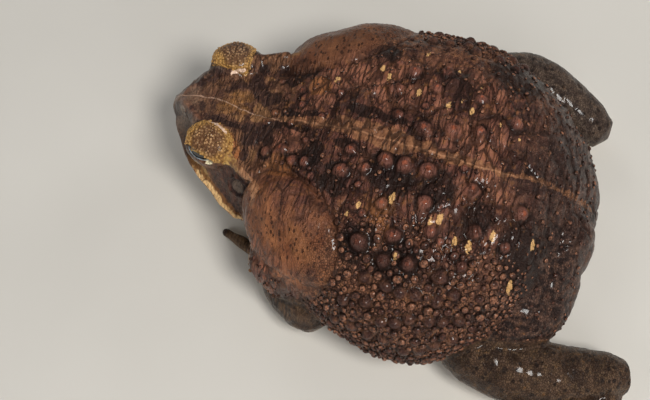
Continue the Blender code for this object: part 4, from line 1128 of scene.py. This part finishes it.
class Shader:
    """Short calls for the nodes of one material."""

    def __init__(self, name):
        self.material = bpy.data.materials.new(name)
        self.material.use_nodes = True
        self.tree = self.material.node_tree
        self.surface = self.tree.nodes["Principled BSDF"]
        self.place = self.tree.nodes.new("ShaderNodeTexCoord").outputs["Object"]

    def _set(self, socket, value):
        if isinstance(value, bpy.types.NodeSocket):
            self.tree.links.new(value, socket)
        elif isinstance(value, tuple) and len(value) == 3 and socket.type == "RGBA":
            socket.default_value = (*value, 1)
        else:
            socket.default_value = value

    def share(self, name):
        node = self.tree.nodes.new("ShaderNodeAttribute")
        node.attribute_name = name
        return node.outputs["Fac"]

    def math(self, operation, a, b=0.0, clamp=False):
        node = self.tree.nodes.new("ShaderNodeMath")
        node.operation = operation
        node.use_clamp = clamp
        self._set(node.inputs[0], a)
        self._set(node.inputs[1], b)
        return node.outputs[0]

    def step(self, value, low, high, out_low=0.0, out_high=1.0):
        node = self.tree.nodes.new("ShaderNodeMapRange")
        node.interpolation_type = "SMOOTHSTEP"
        for key, given in (("Value", value), ("From Min", low), ("From Max", high), ("To Min", out_low), ("To Max", out_high)):
            self._set(node.inputs[key], given)
        return node.outputs[0]

    def mix(self, share, a, b):
        node = self.tree.nodes.new("ShaderNodeMix")
        node.data_type = "RGBA"
        self._set(node.inputs["Factor"], share)
        self._set(node.inputs[6], a)
        self._set(node.inputs[7], b)
        return node.outputs[2]

    def stretched(self, x, y, z, place=None):
        node = self.tree.nodes.new("ShaderNodeMapping")
        node.inputs["Scale"].default_value = (x, y, z)
        self.tree.links.new(place or self.place, node.inputs["Vector"])
        return node.outputs[0]

    def bent(self, noise_colour, reach):
        """The place on the skin, pushed about by a noise, so that patterns wander."""
        node = self.tree.nodes.new("ShaderNodeVectorMath")
        node.operation = "MULTIPLY_ADD"
        self.tree.links.new(noise_colour, node.inputs[0])
        node.inputs[1].default_value = (reach, reach, reach)
        self.tree.links.new(self.place, node.inputs[2])
        return node.outputs[0]

    def noise(self, scale, detail=3.0, place=None, roughness=0.55, distortion=0.0, colour=False):
        node = self.tree.nodes.new("ShaderNodeTexNoise")
        self.tree.links.new(place or self.place, node.inputs["Vector"])
        node.inputs["Scale"].default_value = scale
        node.inputs["Detail"].default_value = detail
        node.inputs["Roughness"].default_value = roughness
        node.inputs["Distortion"].default_value = distortion
        return node.outputs["Color" if colour else "Fac"]

    def cells(self, scale, feature="F1", place=None, randomness=1.0):
        node = self.tree.nodes.new("ShaderNodeTexVoronoi")
        node.feature = feature
        self.tree.links.new(place or self.place, node.inputs["Vector"])
        node.inputs["Scale"].default_value = scale
        node.inputs["Randomness"].default_value = randomness
        return node.outputs["Distance"]

    def bump(self, height, strength, distance, before=None):
        node = self.tree.nodes.new("ShaderNodeBump")
        node.inputs["Strength"].default_value = strength
        node.inputs["Distance"].default_value = distance
        self._set(node.inputs["Height"], height)
        if before is not None:
            self.tree.links.new(before, node.inputs["Normal"])
        return node.outputs[0]


# %% The skin's finish
def toad_finish():
    sh = Shader("wet_toad_skin")
    broad = sh.noise(42, 4)
    patch = sh.noise(95, 3)
    fine = sh.noise(300, 5)
    # Fine creases that run round the body, and pebbled granules
    bend = sh.bent(sh.noise(150, 2, colour=True), 0.0022)
    hatch_cells = sh.cells(430, "DISTANCE_TO_EDGE", sh.stretched(0.2, 1.0, 0.2, bend))
    hatch = sh.step(hatch_cells, 0.02, 0.13, 1.0, 0.0)
    long_cells = sh.cells(150, "DISTANCE_TO_EDGE", sh.stretched(0.3, 1.0, 0.3, bend))
    long_crease = sh.step(long_cells, 0.02, 0.075, 1.0, 0.0)
    cells = sh.cells(820, "DISTANCE_TO_EDGE", sh.stretched(0.85, 1.1, 0.85))
    gaps = sh.step(cells, 0.0, 0.22, 1.0, 0.0)
    granules = sh.cells(780)

    def ragged(name, tear=1.2):
        """A share with a torn edge."""
        torn = sh.math("ADD", sh.share(name), sh.math("MULTIPLY", sh.math("SUBTRACT", fine, 0.5), tear))
        return sh.step(torn, 0.3, 0.62)

    on_flank, head_share = sh.share("flank"), sh.share("head")
    furrow = sh.share("furrow")
    # Back: dark chocolate to red brown
    back = sh.mix(sh.step(broad, 0.4, 0.6), linear(74, 48, 41), linear(150, 98, 76))
    back = sh.mix(sh.step(patch, 0.45, 0.62, 0.0, 0.7), back, linear(96, 58, 48))
    back = sh.mix(sh.step(fine, 0.5, 0.66, 0.0, 0.5), back, linear(146, 94, 58))
    ground = sh.mix(sh.step(fine, 0.4, 0.62), linear(50, 33, 27), linear(150, 104, 76))
    back = sh.mix(sh.math("MULTIPLY", on_flank, 0.7), back, ground)
    rump = sh.mix(sh.step(fine, 0.4, 0.6), linear(30, 23, 22), linear(80, 62, 55))
    back = sh.mix(sh.math("MULTIPLY", sh.share("rear"), 0.8), back, rump)
    back = sh.mix(sh.math("MULTIPLY", ragged("ochre"), 0.7), back, linear(150, 96, 56))
    back = sh.mix(sh.math("MULTIPLY", ragged("dark"), 0.88), back, linear(34, 22, 19))
    # Warts: a ring of painted shade round each, a purple brown cap and a reddish point
    wart = sh.share("wart")
    uneven = sh.math("ADD", wart, sh.math("MULTIPLY", sh.math("SUBTRACT", fine, 0.5), 0.5))
    wart_shade_ring = sh.math("MULTIPLY", sh.step(uneven, 0.62, 0.92), sh.step(uneven, 1.55, 1.05))
    back = sh.mix(sh.step(uneven, 1.0, 0.6, 0.0, 0.75), back, sh.mix(on_flank, sh.mix(fine, linear(84, 52, 44), linear(146, 94, 78)), sh.mix(fine, linear(44, 28, 26), linear(92, 62, 54))))
    wart_shade_ring = sh.math("MULTIPLY", wart_shade_ring, sh.step(patch, 0.35, 0.6, 0.35, 1.0))
    back = sh.mix(sh.math("MULTIPLY", wart_shade_ring, 0.8), back, linear(30, 19, 16))
    back = sh.mix(sh.step(uneven, 0.4, 0.12, 0.0, 0.7), back, sh.mix(on_flank, linear(160, 84, 56), linear(54, 34, 31)))
    bead = sh.share("bead_height")
    # Painted shade in the crevice round the foot of each small wart
    back = sh.mix(sh.step(bead, 0.02, 0.3, 0.0, 1.0), back, linear(32, 21, 16))
    cap = sh.mix(sh.step(patch, 0.42, 0.58), linear(158, 108, 82), linear(92, 60, 50))
    cap = sh.mix(sh.step(sh.noise(620, 2), 0.54, 0.42, 0.0, 0.75), cap, linear(48, 30, 25))
    back = sh.mix(sh.step(bead, 0.3, 0.7, 0.0, 0.92), back, cap)
    back = sh.mix(sh.step(bead, 0.9, 1.1, 0.0, 0.5), back, linear(58, 38, 33))
    # Tan band and the pale line along the spine
    tan = sh.mix(sh.step(fine, 0.35, 0.65), linear(108, 70, 48), linear(154, 106, 74))
    back = sh.mix(sh.math("MULTIPLY", ragged("band"), 0.9), back, tan)
    line_edge = sh.math("ADD", sh.math("ABSOLUTE", sh.share("line_mm")), sh.math("MULTIPLY", fine, 0.8))
    line_share = sh.step(line_edge, 1.05, 0.65, 0.0, 1.0)
    faded = sh.math("SUBTRACT", 0.75, sh.math("MULTIPLY", sh.share("rear"), 0.45))
    back = sh.mix(sh.math("MULTIPLY", line_share, faded), back, linear(178, 128, 94))
    # Head: brown and ochre, with a grey snout
    face = sh.mix(sh.step(patch, 0.4, 0.6), linear(82, 54, 44), linear(122, 84, 60))
    face = sh.mix(sh.step(fine, 0.48, 0.66, 0.0, 0.55), face, linear(144, 102, 72))
    grey = sh.mix(sh.step(fine, 0.3, 0.7), linear(70, 56, 50), linear(146, 124, 106))
    face = sh.mix(sh.math("MULTIPLY", sh.share("snout"), 0.5), face, grey)
    dusk = sh.mix(sh.step(patch, 0.36, 0.64), linear(58, 48, 46), linear(122, 106, 94))
    face = sh.mix(sh.math("MULTIPLY", sh.share("lore"), 0.9), face, dusk)
    face = sh.mix(sh.math("MULTIPLY", ragged("tan"), 0.85), face, sh.mix(fine, linear(126, 86, 52), linear(172, 126, 86)))
    ochre = sh.mix(sh.step(fine, 0.35, 0.65), linear(104, 70, 40), linear(156, 108, 62))
    face = sh.mix(sh.math("MULTIPLY", sh.math("MULTIPLY", ragged("ochre"), sh.share("ochre")), 0.85), face, ochre)
    orange = sh.mix(sh.step(fine, 0.35, 0.65), linear(140, 82, 46), linear(190, 122, 72))
    face = sh.mix(sh.math("MULTIPLY", sh.math("MULTIPLY", ragged("orange"), sh.share("orange")), 0.9), face, orange)
    # The crests from nostril to lid are paler brown, partly their own colour and partly a painted highlight along the
    # ridge
    face = sh.mix(sh.math("MULTIPLY", sh.share("crest"), 0.75), face, sh.mix(fine, linear(102, 64, 50), linear(156, 108, 84)))
    grain = sh.noise(950, 3)
    face = sh.mix(sh.step(grain, 0.52, 0.68, 0.0, 0.45), face, linear(150, 114, 88))
    face = sh.mix(sh.step(grain, 0.46, 0.34, 0.0, 0.5), face, linear(44, 31, 27))
    pale_cells = sh.cells(520, "DISTANCE_TO_EDGE", sh.stretched(0.16, 1.0, 0.2, bend))
    pale_lines = sh.step(pale_cells, 0.015, 0.08, 0.3, 0.0)
    face = sh.mix(sh.math("MULTIPLY", ragged("dark"), 0.9), face, sh.mix(fine, linear(26, 17, 17), linear(62, 43, 41)))
    behind_lids = sh.math("MULTIPLY", sh.share("dark"), sh.math("SUBTRACT", 1.0, sh.share("snout")))
    face = sh.mix(sh.math("MULTIPLY", pale_lines, behind_lids), face, linear(140, 102, 80))
    face = sh.mix(sh.step(uneven, 1.0, 0.6, 0.0, 0.6), face, linear(122, 78, 60))
    # Painted shade round the warts of the head as well
    face = sh.mix(sh.math("MULTIPLY", wart_shade_ring, 0.7), face, linear(38, 25, 22))
    face = sh.mix(sh.step(line_edge, 0.85, 0.55, 0.0, 0.85), face, linear(182, 146, 122))
    colour = sh.mix(head_share, back, face)
    # Legs: grey brown with dark pores
    pores = sh.cells(230)
    leg = sh.mix(sh.step(patch, 0.38, 0.62), linear(58, 42, 32), linear(90, 68, 52))
    leg = sh.mix(sh.step(fine, 0.45, 0.7, 0.0, 0.6), leg, linear(114, 90, 66))
    leg = sh.mix(sh.math("MULTIPLY", sh.share("right_side"), 0.75), leg, sh.mix(sh.step(fine, 0.38, 0.62), linear(70, 58, 52), linear(108, 92, 80)))
    leg = sh.mix(sh.step(pores, 0.34, 0.19, 0.0, 0.85), leg, linear(36, 27, 23))
    leg = sh.mix(sh.math("MULTIPLY", sh.share("digit"), 0.35), leg, linear(134, 104, 74))
    leg = sh.mix(sh.share("tip"), leg, linear(52, 36, 28))
    colour = sh.mix(sh.share("limb"), colour, leg)
    # Glands: orange brown with long dark pores
    gland = sh.mix(sh.step(patch, 0.36, 0.64), linear(118, 70, 46), linear(172, 112, 74))
    gland = sh.mix(sh.step(fine, 0.42, 0.66, 0.0, 0.55), gland, linear(96, 58, 42))
    gland = sh.mix(sh.step(broad, 0.45, 0.65, 0.0, 0.6), gland, linear(104, 66, 40))
    # Painted shade: the right gland is darkened as a whole
    gland = sh.mix(sh.math("MULTIPLY", sh.share("right_side"), 0.5), gland, linear(84, 56, 42))
    gland_pores = sh.cells(360, place=sh.stretched(0.75, 1.25, 0.85))
    pore = sh.step(gland_pores, 0.36, 0.2)
    gland = sh.mix(sh.math("MULTIPLY", pore, 0.8), gland, linear(46, 27, 20))
    colour = sh.mix(sh.share("gland"), colour, gland)
    # Painted shade darkens every crease, furrow and gap between granules
    calm = sh.math("SUBTRACT", 1.0, sh.math("MULTIPLY", sh.math("MAXIMUM", sh.share("gland"), sh.share("snout")), 0.8))
    off_flank = sh.math("SUBTRACT", 1.0, sh.math("MULTIPLY", on_flank, 0.7))
    off_band = sh.math("SUBTRACT", 1.0, sh.math("MULTIPLY", sh.share("band"), 0.65))
    off_rear = sh.math("SUBTRACT", 1.0, sh.math("MULTIPLY", sh.share("rear"), 0.75))
    hatch = sh.math("MULTIPLY", sh.math("MULTIPLY", hatch, off_flank), sh.math("MULTIPLY", sh.math("MULTIPLY", calm, off_rear), off_band))
    off_head = sh.math("SUBTRACT", 1.0, sh.math("MULTIPLY", sh.math("MAXIMUM", head_share, sh.share("rear")), 0.6))
    long_crease = sh.math("MULTIPLY", sh.math("MULTIPLY", long_crease, off_flank), sh.math("MULTIPLY", calm, off_head))
    gaps = sh.math("MULTIPLY", gaps, sh.math("ADD", 0.15, sh.math("MULTIPLY", sh.math("MAXIMUM", on_flank, sh.share("rear")), 0.7)))
    off_wart = sh.step(wart, 0.7, 1.1)
    hatch_share = sh.step(broad, 0.38, 0.62, 0.35, 0.9)
    crease_shade = sh.math("MAXIMUM", sh.math("MULTIPLY", hatch, hatch_share), sh.math("MULTIPLY", long_crease, 1.0))
    crease_shade = sh.math("MULTIPLY", sh.math("MAXIMUM", crease_shade, gaps), sh.math("MAXIMUM", off_wart, 0.3))
    crease_shade = sh.math("MULTIPLY", crease_shade, sh.step(bead, 0.3, 0.05))
    crease_shade = sh.math("MAXIMUM", crease_shade, sh.step(furrow, 0.3, 0.9, 0.0, 0.85))
    crease_shade = sh.math("MULTIPLY", crease_shade, sh.step(sh.share("lid"), 0.6, 0.2))
    colour = sh.mix(sh.math("MULTIPLY", crease_shade, 0.8), colour, linear(28, 18, 14))
    # Belly and throat: cream with brown marbling
    belly = sh.mix(sh.step(sh.noise(95, 4), 0.47, 0.58), linear(206, 182, 140), linear(112, 84, 60))
    colour = sh.mix(sh.math("MULTIPLY", sh.share("belly"), 0.85), colour, belly)
    # Cheek, lip, eardrum and eyelids
    cheek = sh.mix(sh.step(fine, 0.35, 0.65), linear(40, 25, 22), linear(84, 54, 44))
    cheek = sh.mix(sh.step(patch, 0.52, 0.66, 0.0, 0.5), cheek, linear(104, 74, 60))
    colour = sh.mix(sh.math("MULTIPLY", sh.share("cheek"), 0.96), colour, cheek)
    under = sh.mix(sh.step(fine, 0.35, 0.65), linear(112, 84, 52), linear(186, 148, 92))
    colour = sh.mix(sh.math("MULTIPLY", ragged("under_eye", 1.4), 0.85), colour, under)
    tone = sh.mix(sh.share("to_lid"), linear(184, 134, 98), linear(196, 158, 92))
    tone = sh.mix(sh.share("right_side"), tone, linear(132, 98, 62))
    ear_band = sh.mix(sh.step(fine, 0.35, 0.65), linear(120, 80, 54), tone)
    colour = sh.mix(sh.math("MULTIPLY", ragged("ear_band", 1.4), 0.85), colour, ear_band)
    lip = sh.mix(sh.step(sh.noise(260, 4), 0.38, 0.5), linear(160, 112, 64), linear(226, 184, 128))
    lip_edge = sh.math("ADD", sh.share("lip"), sh.math("MULTIPLY", sh.math("SUBTRACT", fine, 0.5), 1.0))
    colour = sh.mix(sh.step(lip_edge, 0.12, 0.3, 0.0, 0.85), colour, linear(120, 80, 46))
    colour = sh.mix(sh.step(lip_edge, 0.66, 0.9, 0.0, 0.95), colour, lip)
    nostril = sh.share("nostril")
    colour = sh.mix(sh.math("MULTIPLY", sh.step(nostril, 3.0, 2.3), 0.7), colour, linear(150, 134, 120))
    # Painted shade inside each nostril
    colour = sh.mix(sh.step(nostril, 1.9, 1.4), colour, linear(22, 18, 17))
    drum = sh.share("drum")
    colour = sh.mix(sh.step(drum, 5.8, 4.8, 0.0, 0.8), colour, linear(46, 35, 33))
    colour = sh.mix(sh.step(drum, 4.3, 3.6), colour, sh.mix(fine, linear(64, 52, 46), linear(112, 94, 80)))
    rim = sh.mix(sh.step(fine, 0.4, 0.6), linear(128, 90, 46), linear(184, 140, 78))
    right_rim = sh.mix(sh.step(fine, 0.4, 0.6), linear(108, 80, 48), linear(164, 128, 82))
    rim = sh.mix(sh.share("right_side"), rim, right_rim)
    middle = sh.mix(sh.share("right_side"), linear(98, 66, 44), linear(80, 62, 54))
    lid = sh.mix(sh.math("MULTIPLY", sh.share("lid_middle"), 0.95), rim, middle)
    pale = sh.mix(sh.share("right_side"), linear(180, 140, 98), linear(150, 122, 98))
    granule = sh.mix(sh.share("lid_middle"), linear(184, 140, 80), sh.mix(sh.step(fine, 0.38, 0.62), linear(112, 80, 54), pale))
    lid = sh.mix(sh.step(bead, 0.02, 0.4, 0.0, 0.92), lid, granule)
    colour = sh.mix(sh.share("lid"), colour, lid)
    colour = sh.mix(ragged("pale_mark", 0.7), colour, linear(238, 204, 178))
    colour = sh.mix(ragged("corner", 0.4), colour, linear(238, 226, 188))
    fleck_edge = sh.math("ADD", sh.share("fleck_mm"), sh.math("MULTIPLY", sh.noise(520, 4), 3.4))
    colour = sh.mix(sh.step(fleck_edge, 1.75, 1.4, 0.0, 0.9), colour, linear(214, 168, 110))
    # Painted shade in the groove of the mouth
    colour = sh.mix(sh.step(sh.share("mouth"), 0.3, 0.8, 0.0, 0.9), colour, linear(38, 24, 20))
    sh._set(sh.surface.inputs["Base Color"], colour)
    rough = sh.step(sh.noise(190, 4), 0.3, 0.7, 0.34, 0.6)
    sh._set(sh.surface.inputs["Roughness"], rough)
    sh.surface.inputs["Specular IOR Level"].default_value = 0.16
    sh.surface.inputs["Coat Weight"].default_value = 0.26
    sh.surface.inputs["Coat Roughness"].default_value = 0.1
    first = sh.bump(sh.math("ADD", hatch, sh.math("MULTIPLY", long_crease, 1.4)), 0.8, -0.0007)
    second = sh.bump(gaps, 0.7, -0.0008, first)
    third = sh.bump(sh.math("MULTIPLY", pore, sh.share("gland")), 0.8, -0.0009, second)
    fourth = sh.bump(granules, 0.45, -0.0007, third)
    fifth = sh.bump(patch, 0.5, 0.0022, fourth)
    sh._set(sh.surface.inputs["Normal"], sh.bump(fine, 0.5, 0.0010, fifth))
    return sh.material


skin_finish = toad_finish()
skin.data.materials.clear()
skin.data.materials.append(skin_finish)
print("skin finish nodes:", len(skin_finish.node_tree.nodes))


# %% [markdown]
# ## Setting the small warts
# Points of the skin are tried in a random but seeded order, and one is kept where no wart is near yet. The
# size wanted at a point depends on where it lies: dense and larger on the flanks, sparse along the back.

# %% Pick the places and set the beads
# Radius, gap between two of that size, and the least share of flank, all in millimetres but the share
SMALL_WARTS = [(2.4, 7.4, 0.3), (1.75, 4.4, 0.2), (1.3, 3.3, 0.2), (0.9, 2.1, 0.15), (1.25, 9, 0.0), (0.8, 6.0, 0.0)]
GRID = 6.5


def spread(points, normals, radius, gap, seed, taken, sizes=(0.88, 1.14)):
    """Adds places of one size, a gap apart from each other and just clear of those of other sizes."""
    rng = np.random.default_rng(seed)
    grid = {}
    for entry in taken:
        grid.setdefault(tuple(np.floor(entry[0] / (GRID * MM)).astype(int)), []).append(entry)
    for i in rng.permutation(len(points)):
        point = points[i]
        key = np.floor(point / (GRID * MM)).astype(int)
        near = []
        for shift in itertools.product((-1, 0, 1), repeat=3):
            near += grid.get((key[0] + shift[0], key[1] + shift[1], key[2] + shift[2]), ())
        clear = True
        for other, _, reach in near:
            least = gap if abs(reach - radius) < 0.16 * radius else 1.02 * (reach + radius)
            if (point[0] - other[0]) ** 2 + (point[1] - other[1]) ** 2 + (point[2] - other[2]) ** 2 < (least * MM) ** 2:
                clear = False
                break
        if clear:
            entry = (point, normals[i], float(radius * rng.uniform(*sizes)))
            taken.append(entry)
            grid.setdefault(tuple(key), []).append(entry)
    return taken


points, normals = read_points(skin), read_normals(skin)
s, x, z = toad_measures(points)
turn = trunk_turn(x, z)
flank = np.where(x > 0, ridge(turn, 70, 23), 0.27 * ridge(turn, 76, 22)) * ridge(s, 146, 42)
free = (s > 62) & (s < 228) & (turn < 112) & (gland_reach(points) > 1.04) & (shares["band"] < 0.3)
free &= (shares["limb"] < 0.3) & (np.abs(shares["line_mm"]) > 2.5) & (z > 12)
small_places = []
for number, (radius, gap, least) in enumerate(SMALL_WARTS):
    open_points = np.nonzero(free & (flank > least) & (shares["wart"] > 1 + radius / 4.2))[0]
    spread(points[open_points], normals[open_points], radius, gap, 20 + number, small_places)
bead_dome = make_dome("bead_dome")
small_warts = set_beads("small_warts", small_places, bead_dome, 0.85, 3, skin_finish)
paint(small_warts)
print("small warts:", len(small_places), "triangles:", len(small_places) * 62)

# %% [markdown]
# ## Granules of the eyelids
# The upper lids are paved with tiny round granules, grey brown in the middle and ochre at the rim. They are
# set by the same tree, closer together and lower.

# %% Lid granules
on_lid = (shares["lid"] > 0.7) & (normals[:, 2] > -0.2) & (lid_disc(points) < 0.97) & (shares["corner"] < 0.3)
on_lid = np.nonzero(on_lid & (shares["pale_mark"] < 0.6))[0]
print("points on the lids:", len(on_lid))
fine_points, fine_normals = [], []
for i in range(6):
    shift = np.random.default_rng(70 + i).uniform(-0.7, 0.7, (len(on_lid), 3)) * MM
    fine_points.append(points[on_lid] + shift - (shift * normals[on_lid]).sum(1)[:, None] * normals[on_lid])
    fine_normals.append(normals[on_lid])
lid_places = spread(np.vstack(fine_points), np.vstack(fine_normals), 0.72, 1.2, 8, [], sizes=(0.8, 1.2))
granule_dome = make_dome("granule_dome", sides=7, levels=((1.05, -0.3), (0.88, 0.35), (0.5, 0.9)), tip_level=1.0)
lid_granules = set_beads("lid_granules", lid_places, granule_dome, 0.5, 4, skin_finish)
paint(lid_granules, lid=1.0, dark=0.0)
discard(bead_dome, granule_dome)
print("lid granules:", len(lid_places))


# %% [markdown]
# ## Eyes
# A cane toad's eye is a dark ball with a flat black pupil in a gold and brown iris. Only a slit of it shows
# between the lids. It stays a ball of its own, with a very smooth clear coat, and each lid ends in a rim.

# %% Eyeballs and lid rims
def eye_finish(side):
    sh = Shader("eye_left_finish" if side > 0 else "eye_right_finish")
    centre, _, axes = eye_frame(side)
    shift = sh.tree.nodes.new("ShaderNodeVectorMath")
    shift.operation = "SUBTRACT"
    sh.tree.links.new(sh.place, shift.inputs[0])
    shift.inputs[1].default_value = centre
    parts = []
    for axis in axes.col:
        dot = sh.tree.nodes.new("ShaderNodeVectorMath")
        dot.operation = "DOT_PRODUCT"
        sh.tree.links.new(shift.outputs[0], dot.inputs[0])
        dot.inputs[1].default_value = axis
        parts.append(sh.math("DIVIDE", dot.outputs["Value"], EYE_RADIUS * MM))
    along, across, _ = parts
    across = sh.math("SUBTRACT", across, 0.12)
    wide = sh.math("SQRT", sh.math("ADD", sh.math("POWER", along, 2.0), sh.math("POWER", across, 2.0)))
    pupil = sh.math(
        "SQRT",
        sh.math("ADD", sh.math("POWER", sh.math("DIVIDE", along, 0.46), 2.0), sh.math("POWER", sh.math("DIVIDE", across, 0.2), 2.0)),
    )
    veins = sh.noise(700, 4, distortion=0.8)
    iris = sh.mix(sh.step(veins, 0.42, 0.6), linear(58, 36, 18), linear(176, 126, 44))
    iris = sh.mix(sh.step(wide, 0.52, 0.68), iris, linear(26, 20, 18))
    iris = sh.mix(sh.step(pupil, 1.16, 1.04), iris, linear(190, 150, 70))
    colour = sh.mix(sh.step(pupil, 1.04, 0.98), iris, linear(4, 4, 5))
    colour = sh.mix(sh.step(along, 0.47, 0.54), colour, linear(232, 222, 190))
    sh._set(sh.surface.inputs["Base Color"], colour)
    sh._set(sh.surface.inputs["Roughness"], sh.step(veins, 0.3, 0.7, 0.12, 0.22))
    sh.surface.inputs["Coat Weight"].default_value = 1.0
    sh.surface.inputs["Coat Roughness"].default_value = 0.03
    sh._set(sh.surface.inputs["Normal"], sh.bump(veins, 0.08, 0.0002))
    return sh.material


def rim_finish():
    sh = Shader("lid_rim_finish")
    patchy = sh.noise(500, 4)
    colour = sh.mix(sh.step(patchy, 0.4, 0.62), linear(92, 98, 102), linear(140, 148, 154))
    colour = sh.mix(sh.share("corner"), colour, linear(232, 226, 200))
    upper = sh.mix(patchy, linear(128, 112, 84), linear(206, 200, 180))
    sh._set(sh.surface.inputs["Base Color"], sh.mix(sh.share("upper"), colour, upper))
    sh._set(sh.surface.inputs["Roughness"], sh.step(patchy, 0.3, 0.7, 0.25, 0.4))
    sh.surface.inputs["Coat Weight"].default_value = 0.6
    sh.surface.inputs["Coat Roughness"].default_value = 0.12
    sh._set(sh.surface.inputs["Normal"], sh.bump(patchy, 0.3, 0.0004))
    return sh.material


def corner_share(i, steps):
    """1 at the rear corner of the eye, where the third eyelid shows pale, and 0 elsewhere."""
    return math.exp(-(((2 * math.pi * (1 - i / steps) - 0.7) / 0.33) ** 2))


def make_rim(side, name, radius=0.34, steps=72, sides=10):
    """A soft roll along the edge of both lids, on the ball."""
    centre, _, axes = eye_frame(side)
    ball = EYE_RADIUS + 0.35
    line = []
    for i in range(steps):
        angle = 2 * math.pi * i / steps
        u = SLIT["length"] / 2 * 0.97 * math.cos(angle)
        v = SLIT["height"] / 2 * math.sin(angle) + SLIT["rise"]
        w = math.sqrt(max(ball**2 - u**2 - v**2, 4.0))
        line.append(centre + axes @ Vector((u, v, w)) * MM)
    bm = bmesh.new()
    rows = []
    for i, place in enumerate(line):
        way = (line[(i + 1) % steps] - line[i - 1]).normalized()
        out = (place - centre).normalized()
        across = way.cross(out).normalized()
        ring = [2 * math.pi * k / sides for k in range(sides)]
        thick = radius * (1 + 0.5 * corner_share(i, steps)) * MM
        rows.append([bm.verts.new(place + (across * math.cos(a) + out * math.sin(a)) * thick) for a in ring])
    for i in range(steps):
        low, high = rows[i], rows[(i + 1) % steps]
        for k in range(sides):
            bm.faces.new((low[k], high[k], high[(k + 1) % sides], low[(k + 1) % sides]))
    bmesh.ops.recalc_face_normals(bm, faces=bm.faces)
    rim = add_object(name, bm)
    up = axes.col[1]
    values = [float(((v.co - centre).dot(up) / MM) > SLIT["rise"]) for v in rim.data.vertices]
    rim.data.attributes.new("upper", "FLOAT", "POINT").data.foreach_set("value", values)
    corner = [corner_share(i, steps) for i in range(steps) for _ in range(sides)]
    rim.data.attributes.new("corner", "FLOAT", "POINT").data.foreach_set("value", corner)
    rim.data.shade_smooth()
    return rim


eyes, rims = [], []
rim_look = rim_finish()
for side, tag in ((1, "left"), (-1, "right")):
    eye = ellipsoid(f"eyeball_{tag}", eye_frame(side)[0], [EYE_RADIUS] * 3, segments=72, rings=44)
    eye.data.materials.append(eye_finish(side))
    eye.data.shade_smooth()
    eyes.append(eye)
    rim = make_rim(side, f"lid_rim_{tag}")
    rim.data.materials.append(rim_look)
    rims.append(rim)
print("eyes:", [len(eye.data.polygons) for eye in eyes], "faces each")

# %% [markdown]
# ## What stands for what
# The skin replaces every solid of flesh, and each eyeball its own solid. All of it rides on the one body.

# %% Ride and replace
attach(skin, "root")
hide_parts(*[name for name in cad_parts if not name.startswith("eye_")])
for piece, slot in ((small_warts, "back_skin"), (lid_granules, "lid_skin"), (rims[0], "lid_skin"), (rims[1], "lid_skin")):
    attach(piece, "root")
for eye, node in zip(eyes, ("eye_left", "eye_right")):
    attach(eye, "root")
    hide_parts(node)


# %% [markdown]
# ## Floor, light and camera
# A pale floor and soft light from above show the wet skin. The camera looks from the toad's left side,
# steeply down, with a long lens, as the picture was taken.

# %% Floor
def floor_finish():
    sh = Shader("pale_floor")
    mottled = sh.noise(9, 3)
    sh._set(sh.surface.inputs["Base Color"], sh.mix(mottled, linear(199, 195, 187), linear(206, 202, 194)))
    sh._set(sh.surface.inputs["Roughness"], sh.step(mottled, 0.3, 0.7, 0.5, 0.6))
    sh._set(sh.surface.inputs["Normal"], sh.bump(sh.noise(300, 3), 0.05, 0.0005))
    return sh.material


bm = bmesh.new()
bmesh.ops.create_grid(bm, x_segments=4, y_segments=4, size=3.0)
floor = add_object("floor", bm)
floor.data.materials.append(floor_finish())


# %% Lights
def area_light(name, place, target, size, power, colour):
    data = bpy.data.lights.new(name, "AREA")
    data.shape = "DISK"
    data.size = size
    data.energy = power
    data.color = colour
    lamp = bpy.data.objects.new(name, data)
    lamp.location = place
    lamp.rotation_euler = (Vector(target) - Vector(place)).to_track_quat("-Z", "Y").to_euler()
    bpy.context.scene.collection.objects.link(lamp)
    return lamp


area_light("sky_window", (0.42, 0.5, 1.15), (0, 0, 0.04), 0.4, 13.5, (1.0, 0.98, 0.95))
for number, (x, y) in enumerate(((0.95, 0.85), (0.95, -0.85), (-0.95, 0.85), (-0.95, -0.85))):
    lamp = area_light(f"low_lamp_{number}", (x, y, 0.72), (0, 0, 0.04), 0.8, 4.6, (0.97, 0.98, 1.0))
    lamp.visible_glossy = False
world = bpy.data.worlds.new("soft room")
world.use_nodes = True
world.node_tree.nodes["Background"].inputs["Color"].default_value = (0.9, 0.92, 0.95, 1)
world.node_tree.nodes["Background"].inputs["Strength"].default_value = 0.12
bpy.context.scene.world = world
bpy.context.scene.view_settings.view_transform = "Standard"

# %% Camera
CAMERA_TURN = math.radians(105.4)
CAMERA_RISE = math.radians(65)
CAMERA_DISTANCE = 0.595
LOOK_AT = Vector((0.0202, -0.0353, 0.0576))
back = Vector(
    (math.sin(CAMERA_TURN) * math.cos(CAMERA_RISE), -math.cos(CAMERA_TURN) * math.cos(CAMERA_RISE), math.sin(CAMERA_RISE))
)
camera_data = bpy.data.cameras.new("camera")
camera_data.sensor_width = 36
camera_data.lens = 1155 / 650 * 36
camera_data.clip_start = 0.02
camera = bpy.data.objects.new("camera", camera_data)
camera.location = LOOK_AT + back * CAMERA_DISTANCE
camera.rotation_euler = (-back).to_track_quat("-Z", "Y").to_euler()
bpy.context.scene.collection.objects.link(camera)
bpy.context.scene.camera = camera
print("lens:", round(camera_data.lens, 1), "mm")
